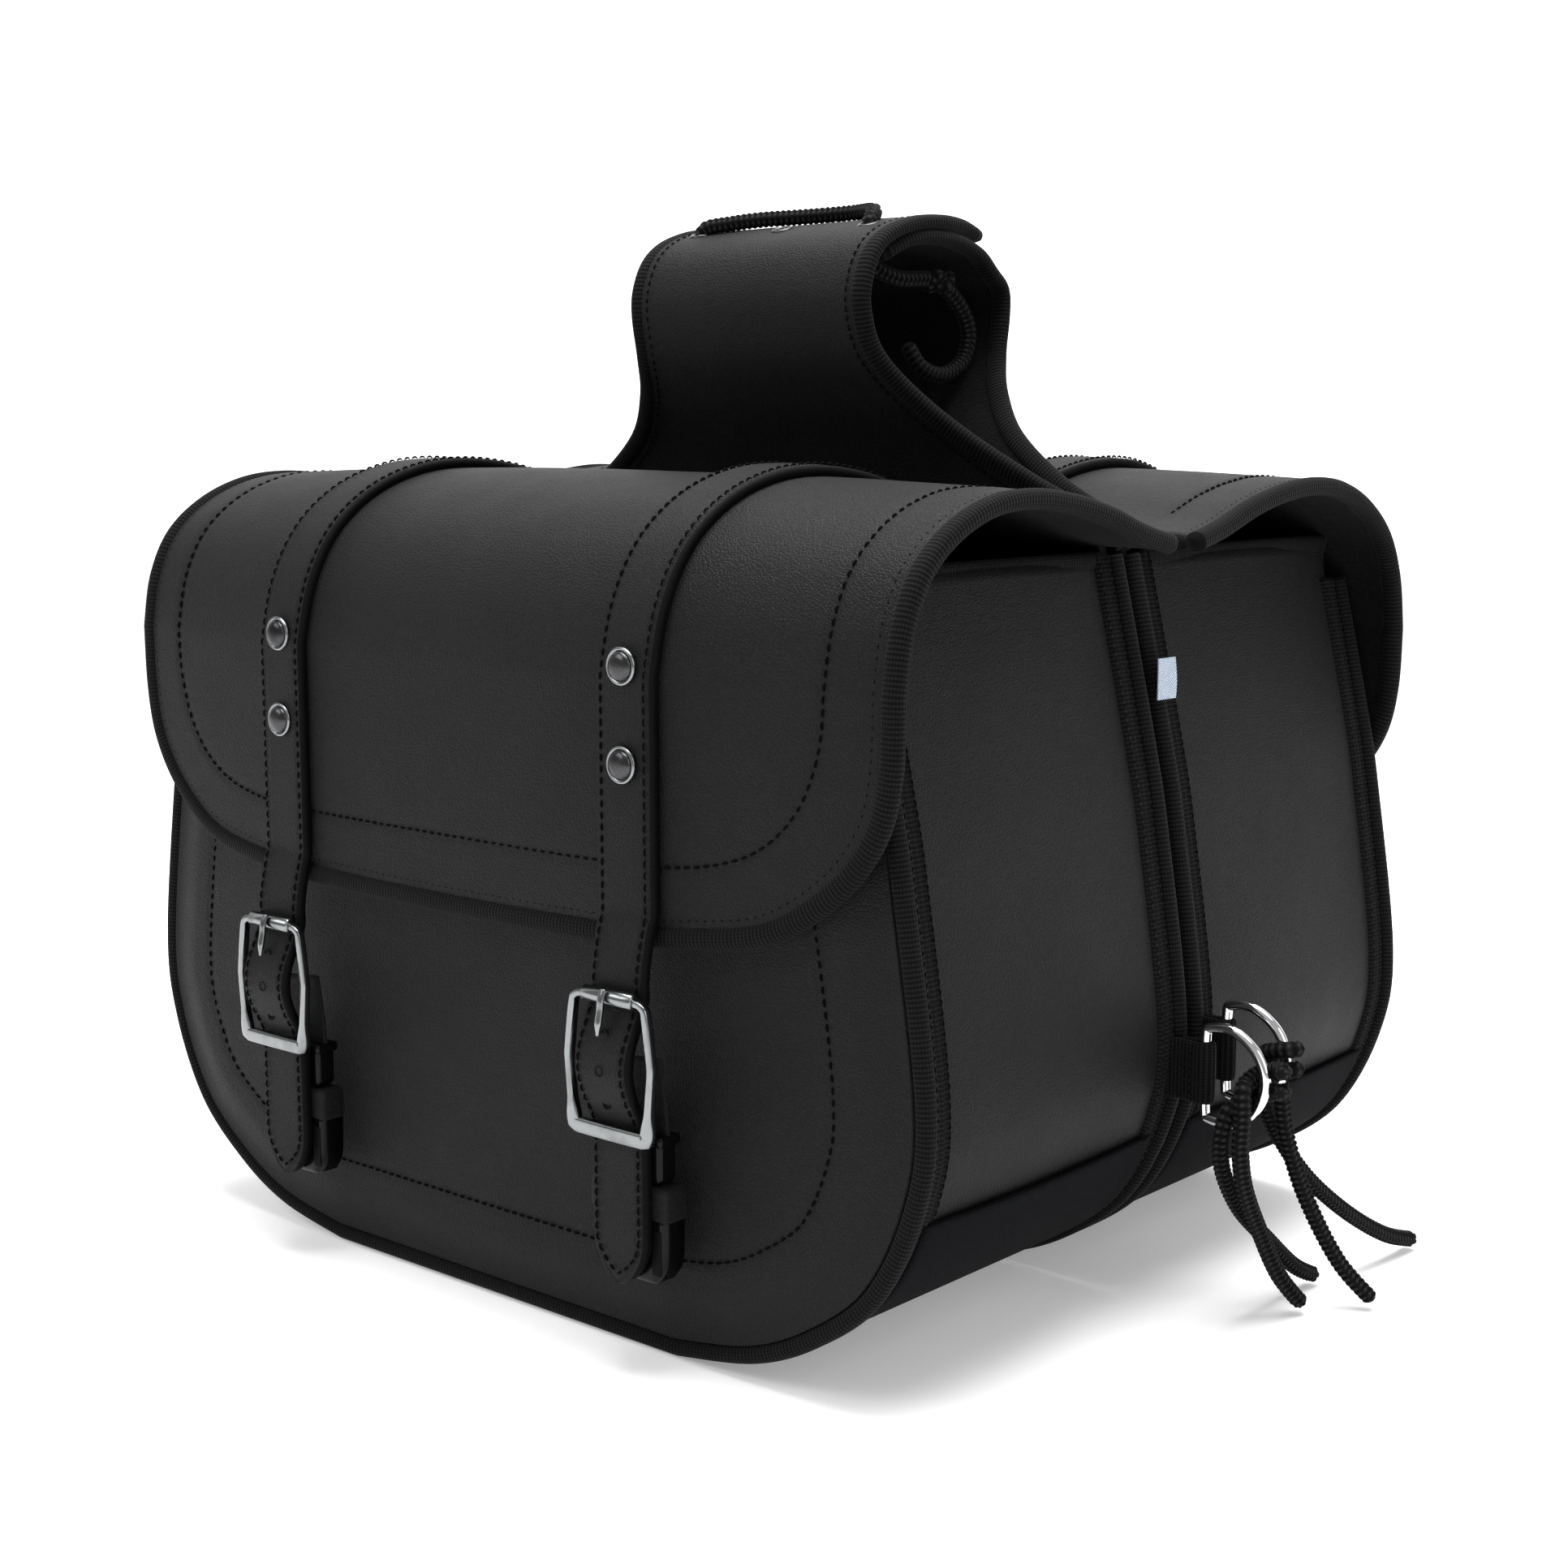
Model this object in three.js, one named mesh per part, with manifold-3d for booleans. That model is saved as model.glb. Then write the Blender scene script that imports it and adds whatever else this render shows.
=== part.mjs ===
// Pair of throw-over motorcycle saddlebags joined by a laced yoke. Millimetres, +Z up.
// Origin: middle of the pair on the floor. X runs along the bags, the front bag is at -Y.
import * as THREE from 'three';
import Module from 'manifold-3d';
import { mergeVertices } from 'three/addons/utils/BufferGeometryUtils.js';

const wasm = await Module();
wasm.setup();

// ---- driving dimensions ----
const BAG_X = -19.64; // middle of the bags' length; the D-rings stand out past their +X ends
const GAP = 0.3; // clearance left between neighbouring pieces
const BACK_Y = -2.2; // back face of the front bag's back binding
const TAPE = 11; // width of an edge binding and its ribbed tape, along Y
const EDGE = 7; // depth of a binding, measured inwards from the bag's outline
const FRONT_Y = -168; // outer face of the front binding
const SKIN = 4; // leatherette with its stiffener
const SEAM_Z = 73; // seam between the gusset and its woven band
const MOUTH_Z = 294; // top of the gusset
const FRONT_TOP_Z = 279; // top of the outer panel, under the lid
const BACK_TOP_Z = 296;
// half outline of the bag seen from the front: [x, z] from the mouth to the flat bottom
const SIDE = [
  [185, 295], [201, 227], [208, 192], [218.5, 118], [214, 80], [196, 44], [168, 21], [138, 7], [100, 0],
];

const LID_HALF = 212; // half length of the lid over its binding
const LID_SKIN = 6;
const LID_BULGE = 11;
const BIND_R = 4; // radius of the binding round the lid
// end profile of the lid's outer face, [y, z, share of the bulge], from the hinge to the front
const ARCH = [
  [-9, 304.5, 0], [-28, 309, 0.1], [-50, 316, 0.3], [-73, 321, 0.4], [-98, 323.5, 0.4], [-122, 321.5, 0.4],
  [-145, 313, 0.5], [-163, 299, 0.6], [-173, 280, 0.8], [-177, 258, 1],
];
const ARCH_DROP = [-177, 160, 1]; // foot of the front flap at mid length
// outline of the flap's lower corner, [x, z]
const CORNER = [
  [212, 258], [211, 232], [206, 211], [194, 193], [176, 178], [156, 168], [128, 163], [90, 160], [0, 159],
];

const STRAP_X = 98;
const STRAP_FROM = 2; // the straps are sewn to the lid from this station of the arch
const STRAP_HALF = 13.5;
const STRAP_T = 4;
const TAIL_TOP = 171;
const TAIL_Y = -195; // outer face of a hanging strap tail
const RIVET_Z = [262, 227];
const BUCKLE_TOP = 144;
const BUCKLE_LOW = 94;
const BUCKLE_WIRE = 2.3;
const CLIP_HALF = 19;

const RING_HALF = 18; // half height of a D-ring, wire centre to wire centre
const RING_REACH = 26;
const RING_WIRE = 2;
const CORD_R = 3.25;

const YOKE_SHIFT = 28; // the yoke is sewn on a little towards +X
const YOKE_T = 4;
// centre line of a yoke half, [distance from the mid plane, z, half width]
const YOKE = [
  [3.6, 301, 158], [4.5, 309, 146], [8, 322, 120], [17, 340, 92], [30, 358, 74], [41, 374, 65], [46, 390, 63],
  [45.5, 401, 63],
];
const YOKE_OVER = [[40, 412.5, 63], [30, 420, 63], [14, 425, 63], [-4, 426.5, 63], [-19, 425.8, 61], [-30, 423, 60]];
const YOKE_UNDER = [
  [38, 407.5, 63], [28, 415, 63], [12, 419.5, 63], [-6, 420.3, 63], [-19, 418, 62], [-29, 413, 60],
];
const EYELETS = [[-20, -20], [26, -20], [72, -20]];
const EYELET_R = 4.2;

// ---- looks ----
const LOOKS = {
  leather: [0x29292a, 0.6, 0], woven: [0x14161b, 0.95, 0],
  tape: [0x121213, 0.95, 0], nickel: [0x6d6a66, 0.3, 1], chrome: [0xd8d8da, 0.1, 1],
  clip: [0x0b0b0c, 0.25, 0], cord: [0x101010, 0.95, 0], label: [0xaab2bf, 0.8, 0],
};

const part = new THREE.Group();
part.name = 'saddlebag_pair';

function add(name, look, geometry) {
  const [color, roughness, metalness] = LOOKS[look];
  const mesh = new THREE.Mesh(geometry, new THREE.MeshStandardMaterial({ color, roughness, metalness }));
  mesh.name = name;
  mesh.geometry.translate(BAG_X, 0, 0);
  part.add(mesh);
}

// ---- solids ----
const V = (x, y, z) => new THREE.Vector3(x, y, z);

function volume(points, faces) {
  let sum = 0;
  for (const [a, b, c] of faces) sum += points[a].dot(V(0, 0, 0).crossVectors(points[b], points[c]));
  return sum / 6;
}

function solid(points, faces) {
  if (volume(points, faces) < 0) faces.forEach((f) => f.reverse());
  const geometry = new THREE.BufferGeometry();
  geometry.setAttribute('position', new THREE.Float32BufferAttribute(points.flatMap((p) => p.toArray()), 3));
  geometry.setIndex(faces.flat());
  geometry.computeVertexNormals();
  return geometry;
}

// Triangles across a ring, zipped between its first half and its second half.
function cap(n) {
  const faces = [];
  for (let k = 0; k < n / 2 - 1; k++) faces.push([k, k + 1, n - 2 - k], [k, n - 2 - k, n - 1 - k]);
  return faces;
}

// A body through a row of rings of equal length, capped at both ends or joined into a loop.
function loft(rings, closed = false) {
  const n = rings[0].length;
  const points = rings.flat();
  const faces = [];
  const last = closed ? rings.length : rings.length - 1;
  for (let i = 0; i < last; i++) {
    const j = (i + 1) % rings.length;
    for (let k = 0; k < n; k++) {
      const m = (k + 1) % n;
      faces.push([i * n + k, j * n + k, j * n + m], [i * n + k, j * n + m, i * n + m]);
    }
  }
  if (!closed) {
    faces.push(...cap(n));
    const base = (rings.length - 1) * n;
    faces.push(...cap(n).map((f) => f.map((k) => base + k).reverse()));
  }
  return solid(points, faces);
}

// A flat outline in X and Z given thickness along Y.
function slab(outline, y0, y1) {
  const shape = new THREE.Shape(outline.map(([x, z]) => new THREE.Vector2(x, z)));
  const geometry = new THREE.ExtrudeGeometry(shape, { depth: y1 - y0, bevelEnabled: false });
  return geometry.rotateX(Math.PI / 2).translate(0, y1, 0);
}

function box(x0, x1, y0, y1, z0, z1) {
  const geometry = new THREE.BoxGeometry(x1 - x0, y1 - y0, z1 - z0);
  return geometry.translate((x0 + x1) / 2, (y0 + y1) / 2, (z0 + z1) / 2);
}

function tube(path, radius, sides, steps, closed = false) {
  const curve = new THREE.CatmullRomCurve3(path.map((p) => V(...p)), closed, 'centripetal');
  const section = new THREE.Shape();
  for (let k = 0; k < sides; k++) {
    const a = (2 * Math.PI * k) / sides;
    section[k ? 'lineTo' : 'moveTo'](radius * Math.cos(a), radius * Math.sin(a));
  }
  section.closePath();
  return new THREE.ExtrudeGeometry(section, { steps, extrudePath: curve, bevelEnabled: false });
}

function manifold(geometry) {
  const g = geometry.clone();
  g.deleteAttribute('normal');
  if (g.attributes.uv) g.deleteAttribute('uv');
  const merged = mergeVertices(g, 1e-4);
  return new wasm.Manifold(new wasm.Mesh({
    numProp: 3, vertProperties: new Float32Array(merged.attributes.position.array),
    triVerts: new Uint32Array(merged.index.array),
  }));
}

function combine(base, added, removed) {
  let body = manifold(base);
  for (const g of added) body = body.add(manifold(g));
  for (const g of removed) body = body.subtract(manifold(g));
  const mesh = body.getMesh();
  const geometry = new THREE.BufferGeometry();
  geometry.setAttribute('position', new THREE.BufferAttribute(new Float32Array(mesh.vertProperties), 3));
  geometry.setIndex([...mesh.triVerts]);
  return geometry.toNonIndexed();
}

// ---- outlines ----
function inset(line, by) {
  return line.map((p, i) => {
    const a = line[Math.max(i - 1, 0)];
    const b = line[Math.min(i + 1, line.length - 1)];
    const length = Math.hypot(b[0] - a[0], b[1] - a[1]);
    return [p[0] + (by * (b[1] - a[1])) / length, p[1] - (by * (b[0] - a[0])) / length];
  });
}

const smooth = (line, steps) => new THREE.SplineCurve(line.map((p) => new THREE.Vector2(...p)))
  .getPoints(steps).map((p) => [p.x, p.y]);

// The bag's outline from the mouth at +X, under the bottom, to the mouth at -X.
function bagLine(by, top) {
  const half = inset(smooth(SIDE, 22), by).filter(([, z]) => z <= top);
  const [x, z] = half[0];
  const lean = (half[1][0] - x) / (half[1][1] - z);
  if (top - z > 1) half.unshift([x + lean * (top - z), top]);
  return [...half, ...half.map((p) => [-p[0], p[1]]).reverse()];
}

function strip(outer, inner, y0, y1) {
  return slab([...outer, ...[...inner].reverse()], y0, y1);
}

// ---- the lid's surface ----
const archCurve = new THREE.CatmullRomCurve3(ARCH.map((p) => V(...p)), false, 'centripetal');
const ARCH_STEPS = 12;
const archPoints = archCurve.getPoints(ARCH_STEPS);

// Foot of the flap at a given x, for an outline moved inwards by `by`.
function footZ(x, by) {
  const line = inset(smooth(CORNER, 30), by);
  const at = Math.abs(x);
  for (let i = 1; i < line.length; i++) {
    if (line[i][0] <= at) {
      const t = (at - line[i][0]) / (line[i - 1][0] - line[i][0]);
      return line[i][1] + Math.min(t, 1) * (line[i - 1][1] - line[i][1]);
    }
  }
  return line[line.length - 1][1];
}

// Points down the lid at x, `depth` below its outer face, ending at height foot.
function lidLine(x, depth, foot, flapSteps = 5) {
  const line = archPoints.map((p) => p.clone());
  for (let k = 1; k <= flapSteps; k++) {
    const z = ARCH[ARCH.length - 1][1] + (foot - ARCH[ARCH.length - 1][1]) * (k / flapSteps);
    line.push(V(ARCH_DROP[0], z, 1));
  }
  const swell = LID_BULGE * (1 - (x / LID_HALF) ** 2);
  return line.map((p, i) => {
    const a = line[Math.max(i - 1, 0)];
    const b = i < ARCH_STEPS ? line[i + 1] : V(ARCH_DROP[0], a.y - 10, 1);
    const length = Math.hypot(b.x - a.x, b.y - a.y);
    const out = swell * p.z - depth;
    return V(x, p.x + (out * (b.y - a.y)) / length, p.y - (out * (b.x - a.x)) / length);
  });
}

function lidBody() {
  const by = 2 * BIND_R + GAP;
  const half = LID_HALF - by;
  const stations = [1, 0.985, 0.95, 0.9, 0.82, 0.7, 0.45, 0].map((s) => s * half);
  const all = [...stations.map((x) => -x), ...stations.slice(0, -1).reverse()];
  return loft(all.map((x) => {
    const foot = footZ(x, by);
    return [...lidLine(x, 0, foot), ...lidLine(x, LID_SKIN, foot).reverse()];
  }));
}

function lidEdge() {
  const x = LID_HALF - BIND_R;
  const mid = LID_SKIN / 2;
  const end = lidLine(x, mid, ARCH[ARCH.length - 1][1], 1).slice(1, ARCH_STEPS);
  const corner = inset(smooth(CORNER, 16), BIND_R).slice(1);
  const flap = corner.map(([cx, cz]) => {
    const line = lidLine(cx, mid, cz);
    return line[line.length - 1];
  });
  const half = [...end, ...flap].map((p) => p.toArray());
  return [...half, ...half.slice(0, -1).reverse().map(([px, py, pz]) => [-px, py, pz])];
}

// ---- straps and their fittings ----
function strapOver(x) {
  const rings = [];
  const low = (px, d) => lidLine(px, d, TAIL_TOP + GAP, 4);
  const corners = [[-1, -GAP], [1, -GAP], [1, -GAP - STRAP_T], [-1, -GAP - STRAP_T]];
  const lines = corners.map(([s, d]) => low(x + s * STRAP_HALF, d));
  for (let i = STRAP_FROM; i < lines[0].length; i++) rings.push(lines.map((line) => line[i]));
  return loft(rings);
}

// Stations down a strap tail: [z, half width, how far the outer face stands out past TAIL_Y]
const TAIL = [
  [TAIL_TOP, 13.5, -4.2], [165, 13.5, -2.6], [157, 13.5, -0.9], [150, 13.5, 0], [143, 13.5, 0.2], [135, 13.5, 3.6],
  [126, 13.5, 7.6], [117, 13.5, 8.6], [108, 13.5, 6.2], [101, 13.5, 2.6], [95, 13.5, 0.2], [86, 13.5, 0], [54, 13.5, 0], [46, 11.5, 0], [40, 7.5, 0],
  [36, 2, 0],
];

function strapTail(x) {
  return loft(TAIL.map(([z, half, out]) => {
    const y = TAIL_Y - out;
    return [V(x - half, y + STRAP_T, z), V(x + half, y + STRAP_T, z), V(x + half, y, z), V(x - half, y, z)];
  }));
}

function rivet(x, z) {
  const line = lidLine(x, -GAP * 2 - STRAP_T, 165, 20);
  const at = line.reduce((best, p) => (Math.abs(p.z - z) < Math.abs(best.z - z) ? p : best));
  const profile = [[0, 0], [7, 0], [7, 1], [5.6, 2.4], [3, 3.1], [0, 3.3]].map((p) => new THREE.Vector2(...p));
  return new THREE.LatheGeometry(profile, 12).rotateX(Math.PI).translate(x, at.y - 0.3, z);
}

function buckleFrame(x) {
  const y = TAIL_Y - 3;
  const half = [[12, BUCKLE_LOW], [17, BUCKLE_LOW + 1.5], [19, BUCKLE_LOW + 8], [20.5, 121], [18.8, BUCKLE_TOP - 7],
    [16.8, BUCKLE_TOP - 1.3], [11, BUCKLE_TOP]];
  const loop = [...half, ...half.map((p) => [-p[0], p[1]]).reverse()].map(([dx, z]) => [x + dx, y, z]);
  return tube(loop, BUCKLE_WIRE, 6, 32, true);
}

function buckleProng(x) {
  const y = TAIL_Y - 3;
  const reach = BUCKLE_WIRE + 2;
  return tube([
    [x, y - 2.9, BUCKLE_TOP + 3.2], [x, y - reach, BUCKLE_TOP],
    [x, y - reach - 0.6, BUCKLE_TOP - 4], [x, y - reach - 1.6, BUCKLE_TOP - 9], [x, y - reach - 2, BUCKLE_TOP - 13],
  ], 1.3, 6, 10);
}

const CLIP = { low: 37, mouth: 74, top: 98, back: -178.6, front: -190.6, tongue: 62 };

function clipFemale(x) {
  const { low, mouth, back, front, tongue } = CLIP;
  const shell = box(x - CLIP_HALF, x + CLIP_HALF, front + 1, back, low, mouth);
  const socket = box(x - CLIP_HALF + 2, x + CLIP_HALF - 2, front + 3.5, back - 2.5, tongue - 2, mouth + 1);
  return combine(shell, [], [socket]);
}

function clipMale(x) {
  const { mouth, top, back, front, tongue } = CLIP;
  const body = box(x - CLIP_HALF + 1, x + CLIP_HALF - 1, front, back, mouth + 0.5, top);
  const arms = [[-14.5, -9.5], [-3.5, 3.5], [9.5, 14.5]].map(([a, b]) => (
    box(x + a, x + b, front + 4.2, back - 3.2, tongue, mouth + 2)));
  return combine(body, arms, []);
}

// ---- D-rings, tabs and cords ----
function dRing(x, y, z) {
  const h = RING_HALF;
  const r = RING_REACH;
  const loop = [[0, -h + 3], [0, 0], [0, h - 3], [1.6, h - 0.4], [r * 0.45, h], [r * 0.85, h * 0.6], [r, 0],
    [r * 0.85, -h * 0.6], [r * 0.45, -h], [1.6, -h + 0.4]];
  return tube(loop.map(([dx, dz]) => [x + dx, y, z + dz]), RING_WIRE, 8, 32, true);
}

function ringTab(x0, x, y, z) {
  const outer = 4.1;
  const inner = RING_WIRE + GAP;
  const shape = new THREE.Shape();
  shape.moveTo(x0, y - outer).lineTo(x, y - outer).absarc(x, y, outer, -Math.PI / 2, Math.PI / 2);
  shape.lineTo(x0, y + outer).closePath();
  const slot = new THREE.Path();
  slot.moveTo(x0 + 4, y - inner).lineTo(x, y - inner).absarc(x, y, inner, -Math.PI / 2, Math.PI / 2);
  slot.lineTo(x0 + 4, y + inner).closePath();
  shape.holes.push(slot);
  return new THREE.ExtrudeGeometry(shape, { depth: 24, bevelEnabled: false, curveSegments: 8 })
    .translate(0, 0, z - 12);
}

// ---- the two bags ----
function pillow(top, y0, y1, swell) {
  const line = bagLine(EDGE + GAP, top);
  const middle = [0, 150];
  const ring = (s, y) => line.map(([x, z]) => V(middle[0] + (x - middle[0]) * s, y, middle[1] + (z - middle[1]) * s));
  return loft([ring(1, y0), ring(1, y1), ring(0.965, y1 - swell * 0.45), ring(0.9, y1 - swell * 0.85),
    ring(0.75, y1 - swell)]);
}

function bag(prefix, turn) {
  const put = (name, look, geometry) => {
    if (turn) geometry.rotateZ(Math.PI);
    add(`${prefix}_${name}`, look, geometry);
  };
  const sides = [['right', STRAP_X], ['left', -STRAP_X]];
  const inFront = FRONT_Y + TAPE; // rear edge of the front binding
  const inBack = BACK_Y - TAPE;
  put('outer_panel', 'leather', pillow(FRONT_TOP_Z, FRONT_Y + 6, FRONT_Y + 1, 5));
  put('inner_panel', 'leather', slab(bagLine(EDGE + GAP, BACK_TOP_Z), BACK_Y - 7, BACK_Y - 2));
  put('outer_binding', 'tape', strip(bagLine(0, FRONT_TOP_Z), bagLine(EDGE, FRONT_TOP_Z), FRONT_Y, inFront));
  put('inner_binding', 'tape', strip(bagLine(0, BACK_TOP_Z), bagLine(EDGE, BACK_TOP_Z), inBack, BACK_Y));
  const [g0, g1] = [inFront + GAP, inBack - GAP];
  put('gusset', 'leather', strip(bagLine(4, MOUTH_Z), bagLine(4 + SKIN, MOUTH_Z), g0, g1));
  put('gusset_band', 'woven', strip(bagLine(2, SEAM_Z), bagLine(4 - GAP, SEAM_Z), g0, g1));
  put('lid', 'leather', lidBody());
  put('lid_binding', 'tape', tube(lidEdge(), BIND_R, 8, 72));
  for (const [side, x] of sides) {
    put(`strap_${side}`, 'leather', strapOver(x));
    put(`strap_tail_${side}`, 'leather', strapTail(x));
    RIVET_Z.forEach((z, i) => put(`rivet_${side}_${i ? 'lower' : 'upper'}`, 'nickel', rivet(x, z)));
    put(`buckle_frame_${side}`, 'nickel', buckleFrame(x));
    put(`buckle_prong_${side}`, 'nickel', buckleProng(x));
    put(`clip_male_${side}`, 'clip', clipMale(x));
    put(`clip_female_${side}`, 'clip', clipFemale(x));
  }
}

bag('front', false);
bag('rear', true);

const RINGS = { front: [230, -9.2, 101], rear: [228, 9.2, 106] };
for (const [name, [x, y, z]] of Object.entries(RINGS)) {
  add(`${name}_ring_tab`, 'tape', ringTab(219.4, x, y, z));
  add(`${name}_d_ring`, 'chrome', dRing(x, y, z));
}

// Each tie cord is folded over its ring, so its two halves start on the ring and hang to the floor.
const TAILS = {
  front_tie_cord_a: [[262.4, -9.2, 106], [260.5, -4.6, 106], [255.5, -2.9, 105], [250, -4.8, 103], [248, -10, 100],
    [249.5, -14.8, 97], [250.5, -16.2, 88], [249.5, -15, 74], [248.5, -9, 58], [248, 4, 38], [250, 16, 18],
    [254, 28, 3.6]],
  front_tie_cord_b: [[262.4, -9.2, 98.5], [260.5, -4.6, 98], [255, -2.9, 96], [249, -4.8, 93.5], [245, -10, 91.5],
    [243.5, -15.5, 88], [242, -17, 78], [240.5, -12, 64], [240, 2, 46], [240, 24, 28], [241, 44, 12], [242, 60, 3.6]],
  rear_tie_cord_a: [[260.4, 9.2, 112], [258.5, 4.6, 112], [253, 3.4, 111], [247.8, 5.4, 109], [246, 10.5, 106],
    [247, 15, 102], [248, 17, 92], [249, 20, 74], [253, 29, 48], [262, 41, 20], [273, 50, 3.6]],
  rear_tie_cord_b: [[260.4, 9.2, 104], [258.5, 4.6, 104], [252.5, 3.4, 102], [246.5, 5.4, 99.5], [242, 10.5, 97.5],
    [240.5, 15.5, 94], [240, 19, 84], [241, 30, 68], [244, 48, 48], [248, 74, 28], [251, 102, 12], [252, 126, 3.6]],
};
for (const [name, path] of Object.entries(TAILS)) add(name, 'cord', tube(path, CORD_R, 8, 22));

// ---- yoke and lace ----
function yokeHalf(sign, crown) {
  const line = [...YOKE, ...crown];
  const curve = new THREE.CatmullRomCurve3(line.map(([a, z, w]) => V(sign * a, z, w)), false, 'centripetal');
  const points = curve.getPoints(26);
  const rings = points.map((p, i) => {
    const a = points[Math.max(i - 1, 0)];
    const b = points[Math.min(i + 1, points.length - 1)];
    const length = Math.hypot(b.x - a.x, b.y - a.y);
    const [ny, nz] = [((b.y - a.y) / length) * (YOKE_T / 2), (-(b.x - a.x) / length) * (YOKE_T / 2)];
    return [[-1, -1], [1, -1], [1, 1], [-1, 1]].map(([sx, s]) => (
      V(YOKE_SHIFT + sx * p.z, p.x + s * ny, p.y + s * nz)));
  });
  const holes = EYELETS.map(([x, y]) => (
    new THREE.CylinderGeometry(EYELET_R, EYELET_R, 60, 12).rotateX(Math.PI / 2).translate(x, y, 420)));
  return combine(loft(rings), [], holes);
}

add('yoke_front_half', 'leather', yokeHalf(-1, YOKE_OVER));
add('yoke_rear_half', 'leather', yokeHalf(1, YOKE_UNDER));

const LACE = [
  [-20, -20, 405], [-20, -20, 415], [-20, -20, 426], [-17, -19.5, 431.3], [-8, -16, 432], [5, -11, 431.8],
  [28, -2, 432.8], [46, 2, 434.2], [60, -5, 433.2], [69, -14.5, 432.3], [72, -19.5, 427], [72, -20, 417],
  [72, -19, 409], [75, -6, 404.5], [77, 14, 404.5], [79, 28, 396], [80, 35, 384], [80, 31, 372], [80, 17, 366],
  [79, 4, 369], [77, -3, 378],
];
add('lace', 'cord', tube(LACE, CORD_R, 8, 52));

add('label', 'label', box(199, 200, -1, 11, 241, 257));

export default part;
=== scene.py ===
"""A pair of throw-over motorcycle saddlebags, joined by a laced yoke, in black leatherette.

Shapes are worked out in millimetres in the front bag's frame and stored in metres. The rear bag is the front
bag turned half a turn about Z.
"""

import math

import bpy
import numpy as np
from mathutils import Matrix, Vector, noise

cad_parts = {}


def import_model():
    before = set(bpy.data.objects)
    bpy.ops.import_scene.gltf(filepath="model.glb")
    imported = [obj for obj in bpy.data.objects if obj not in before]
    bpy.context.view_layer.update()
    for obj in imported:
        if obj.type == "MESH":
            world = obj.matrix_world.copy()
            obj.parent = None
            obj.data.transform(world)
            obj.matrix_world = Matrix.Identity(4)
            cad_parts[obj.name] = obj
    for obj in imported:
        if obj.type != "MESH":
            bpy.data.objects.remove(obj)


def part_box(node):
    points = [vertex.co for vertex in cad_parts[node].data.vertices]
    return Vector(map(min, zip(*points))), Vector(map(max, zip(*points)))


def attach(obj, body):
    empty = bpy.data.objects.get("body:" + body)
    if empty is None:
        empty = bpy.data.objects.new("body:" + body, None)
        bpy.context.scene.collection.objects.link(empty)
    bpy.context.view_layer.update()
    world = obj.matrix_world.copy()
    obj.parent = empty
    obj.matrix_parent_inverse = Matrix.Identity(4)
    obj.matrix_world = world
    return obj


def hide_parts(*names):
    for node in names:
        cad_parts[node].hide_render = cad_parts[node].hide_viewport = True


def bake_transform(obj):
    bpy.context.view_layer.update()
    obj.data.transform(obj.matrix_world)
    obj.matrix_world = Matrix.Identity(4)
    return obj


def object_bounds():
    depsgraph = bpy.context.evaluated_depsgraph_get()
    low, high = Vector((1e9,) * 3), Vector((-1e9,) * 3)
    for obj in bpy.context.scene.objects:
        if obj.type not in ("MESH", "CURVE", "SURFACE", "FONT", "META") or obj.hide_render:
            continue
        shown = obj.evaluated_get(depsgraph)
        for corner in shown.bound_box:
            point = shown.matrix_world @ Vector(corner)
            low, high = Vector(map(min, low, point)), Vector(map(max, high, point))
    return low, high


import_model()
cad_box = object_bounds()
MM = 0.001
ORIGIN = np.array([sum(p[0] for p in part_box("front_gusset")) / 2, 0.0, 0.0])  # middle of the bags
SIDES = (("right", 1), ("left", -1))

# ---- sizes in millimetres, as the CAD solids have them ----
BAG_MIDDLE = (0, -85, 150)
OUTLINE = [
    (185, 295), (201, 227), (208, 192), (218.5, 118), (214, 80), (196, 44), (168, 21), (138, 7), (100, 0),
]
FRONT_Y, BACK_Y, TAPE = -168.0, -2.2, 11.0
GUSSET_Y = (-156.7, -13.5)
PANEL_INSET = 7.3
FRONT_TOP, BACK_TOP, MOUTH, SEAM = 279.0, 296.0, 294.0, 73.0
HINGE = 303.0  # the back panel runs up to the lid
PANEL_STITCH = 39.0
LID_HALF, LID_SKIN, LID_BULGE, BIND = 212.0, 6.0, 11.0, 4.0
ARCH = [
    (-9, 304.5, 0), (-28, 309, 0.1), (-50, 316, 0.3), (-73, 321, 0.4), (-98, 323.5, 0.4), (-122, 321.5, 0.4),
    (-145, 313, 0.5), (-163, 299, 0.6), (-173, 280, 0.8), (-177, 258, 1),
]
FLAP_TOP = 258.0
CORNER = [
    (212, 258), (211, 232), (206, 211), (194, 193), (176, 178), (156, 168), (128, 163), (90, 160), (0, 159),
]
LID_STITCH = [(182, 258), (180, 238), (172, 218), (157, 203), (138, 195), (112, 191), (70, 190), (0, 190)]
STRAP_X, STRAP_HALF, STRAP_T = 98.0, 13.5, 4.0
STRAP_FROM = 8  # the lid station the straps are sewn from
TAIL_TOP, TAIL_Y = 171.0, -195.0
TAIL = [
    (171, 13.5, -4.2), (165, 13.5, -2.6), (157, 13.5, -0.9), (150, 13.5, 0), (143, 13.5, 0.2),
    (135, 13.5, 3.6), (126, 13.5, 7.6), (117, 13.5, 8.6), (108, 13.5, 6.2), (101, 13.5, 2.6),
    (95, 13.5, 0.2), (86, 13.5, 0),
    (70, 13.5, 0), (54, 13.4, 0), (48, 12.2, 0), (43, 9.6, 0), (39, 6, 0), (36.4, 1.6, 0),
]
BUCKLE_TOP, BUCKLE_LOW, BUCKLE_Y = 144.0, 94.0, TAIL_Y - 3
CLIP = {"low": 37.0, "mouth": 74.0, "top": 98.0, "back": -178.6, "front": -190.6, "half": 19.0}
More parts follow.
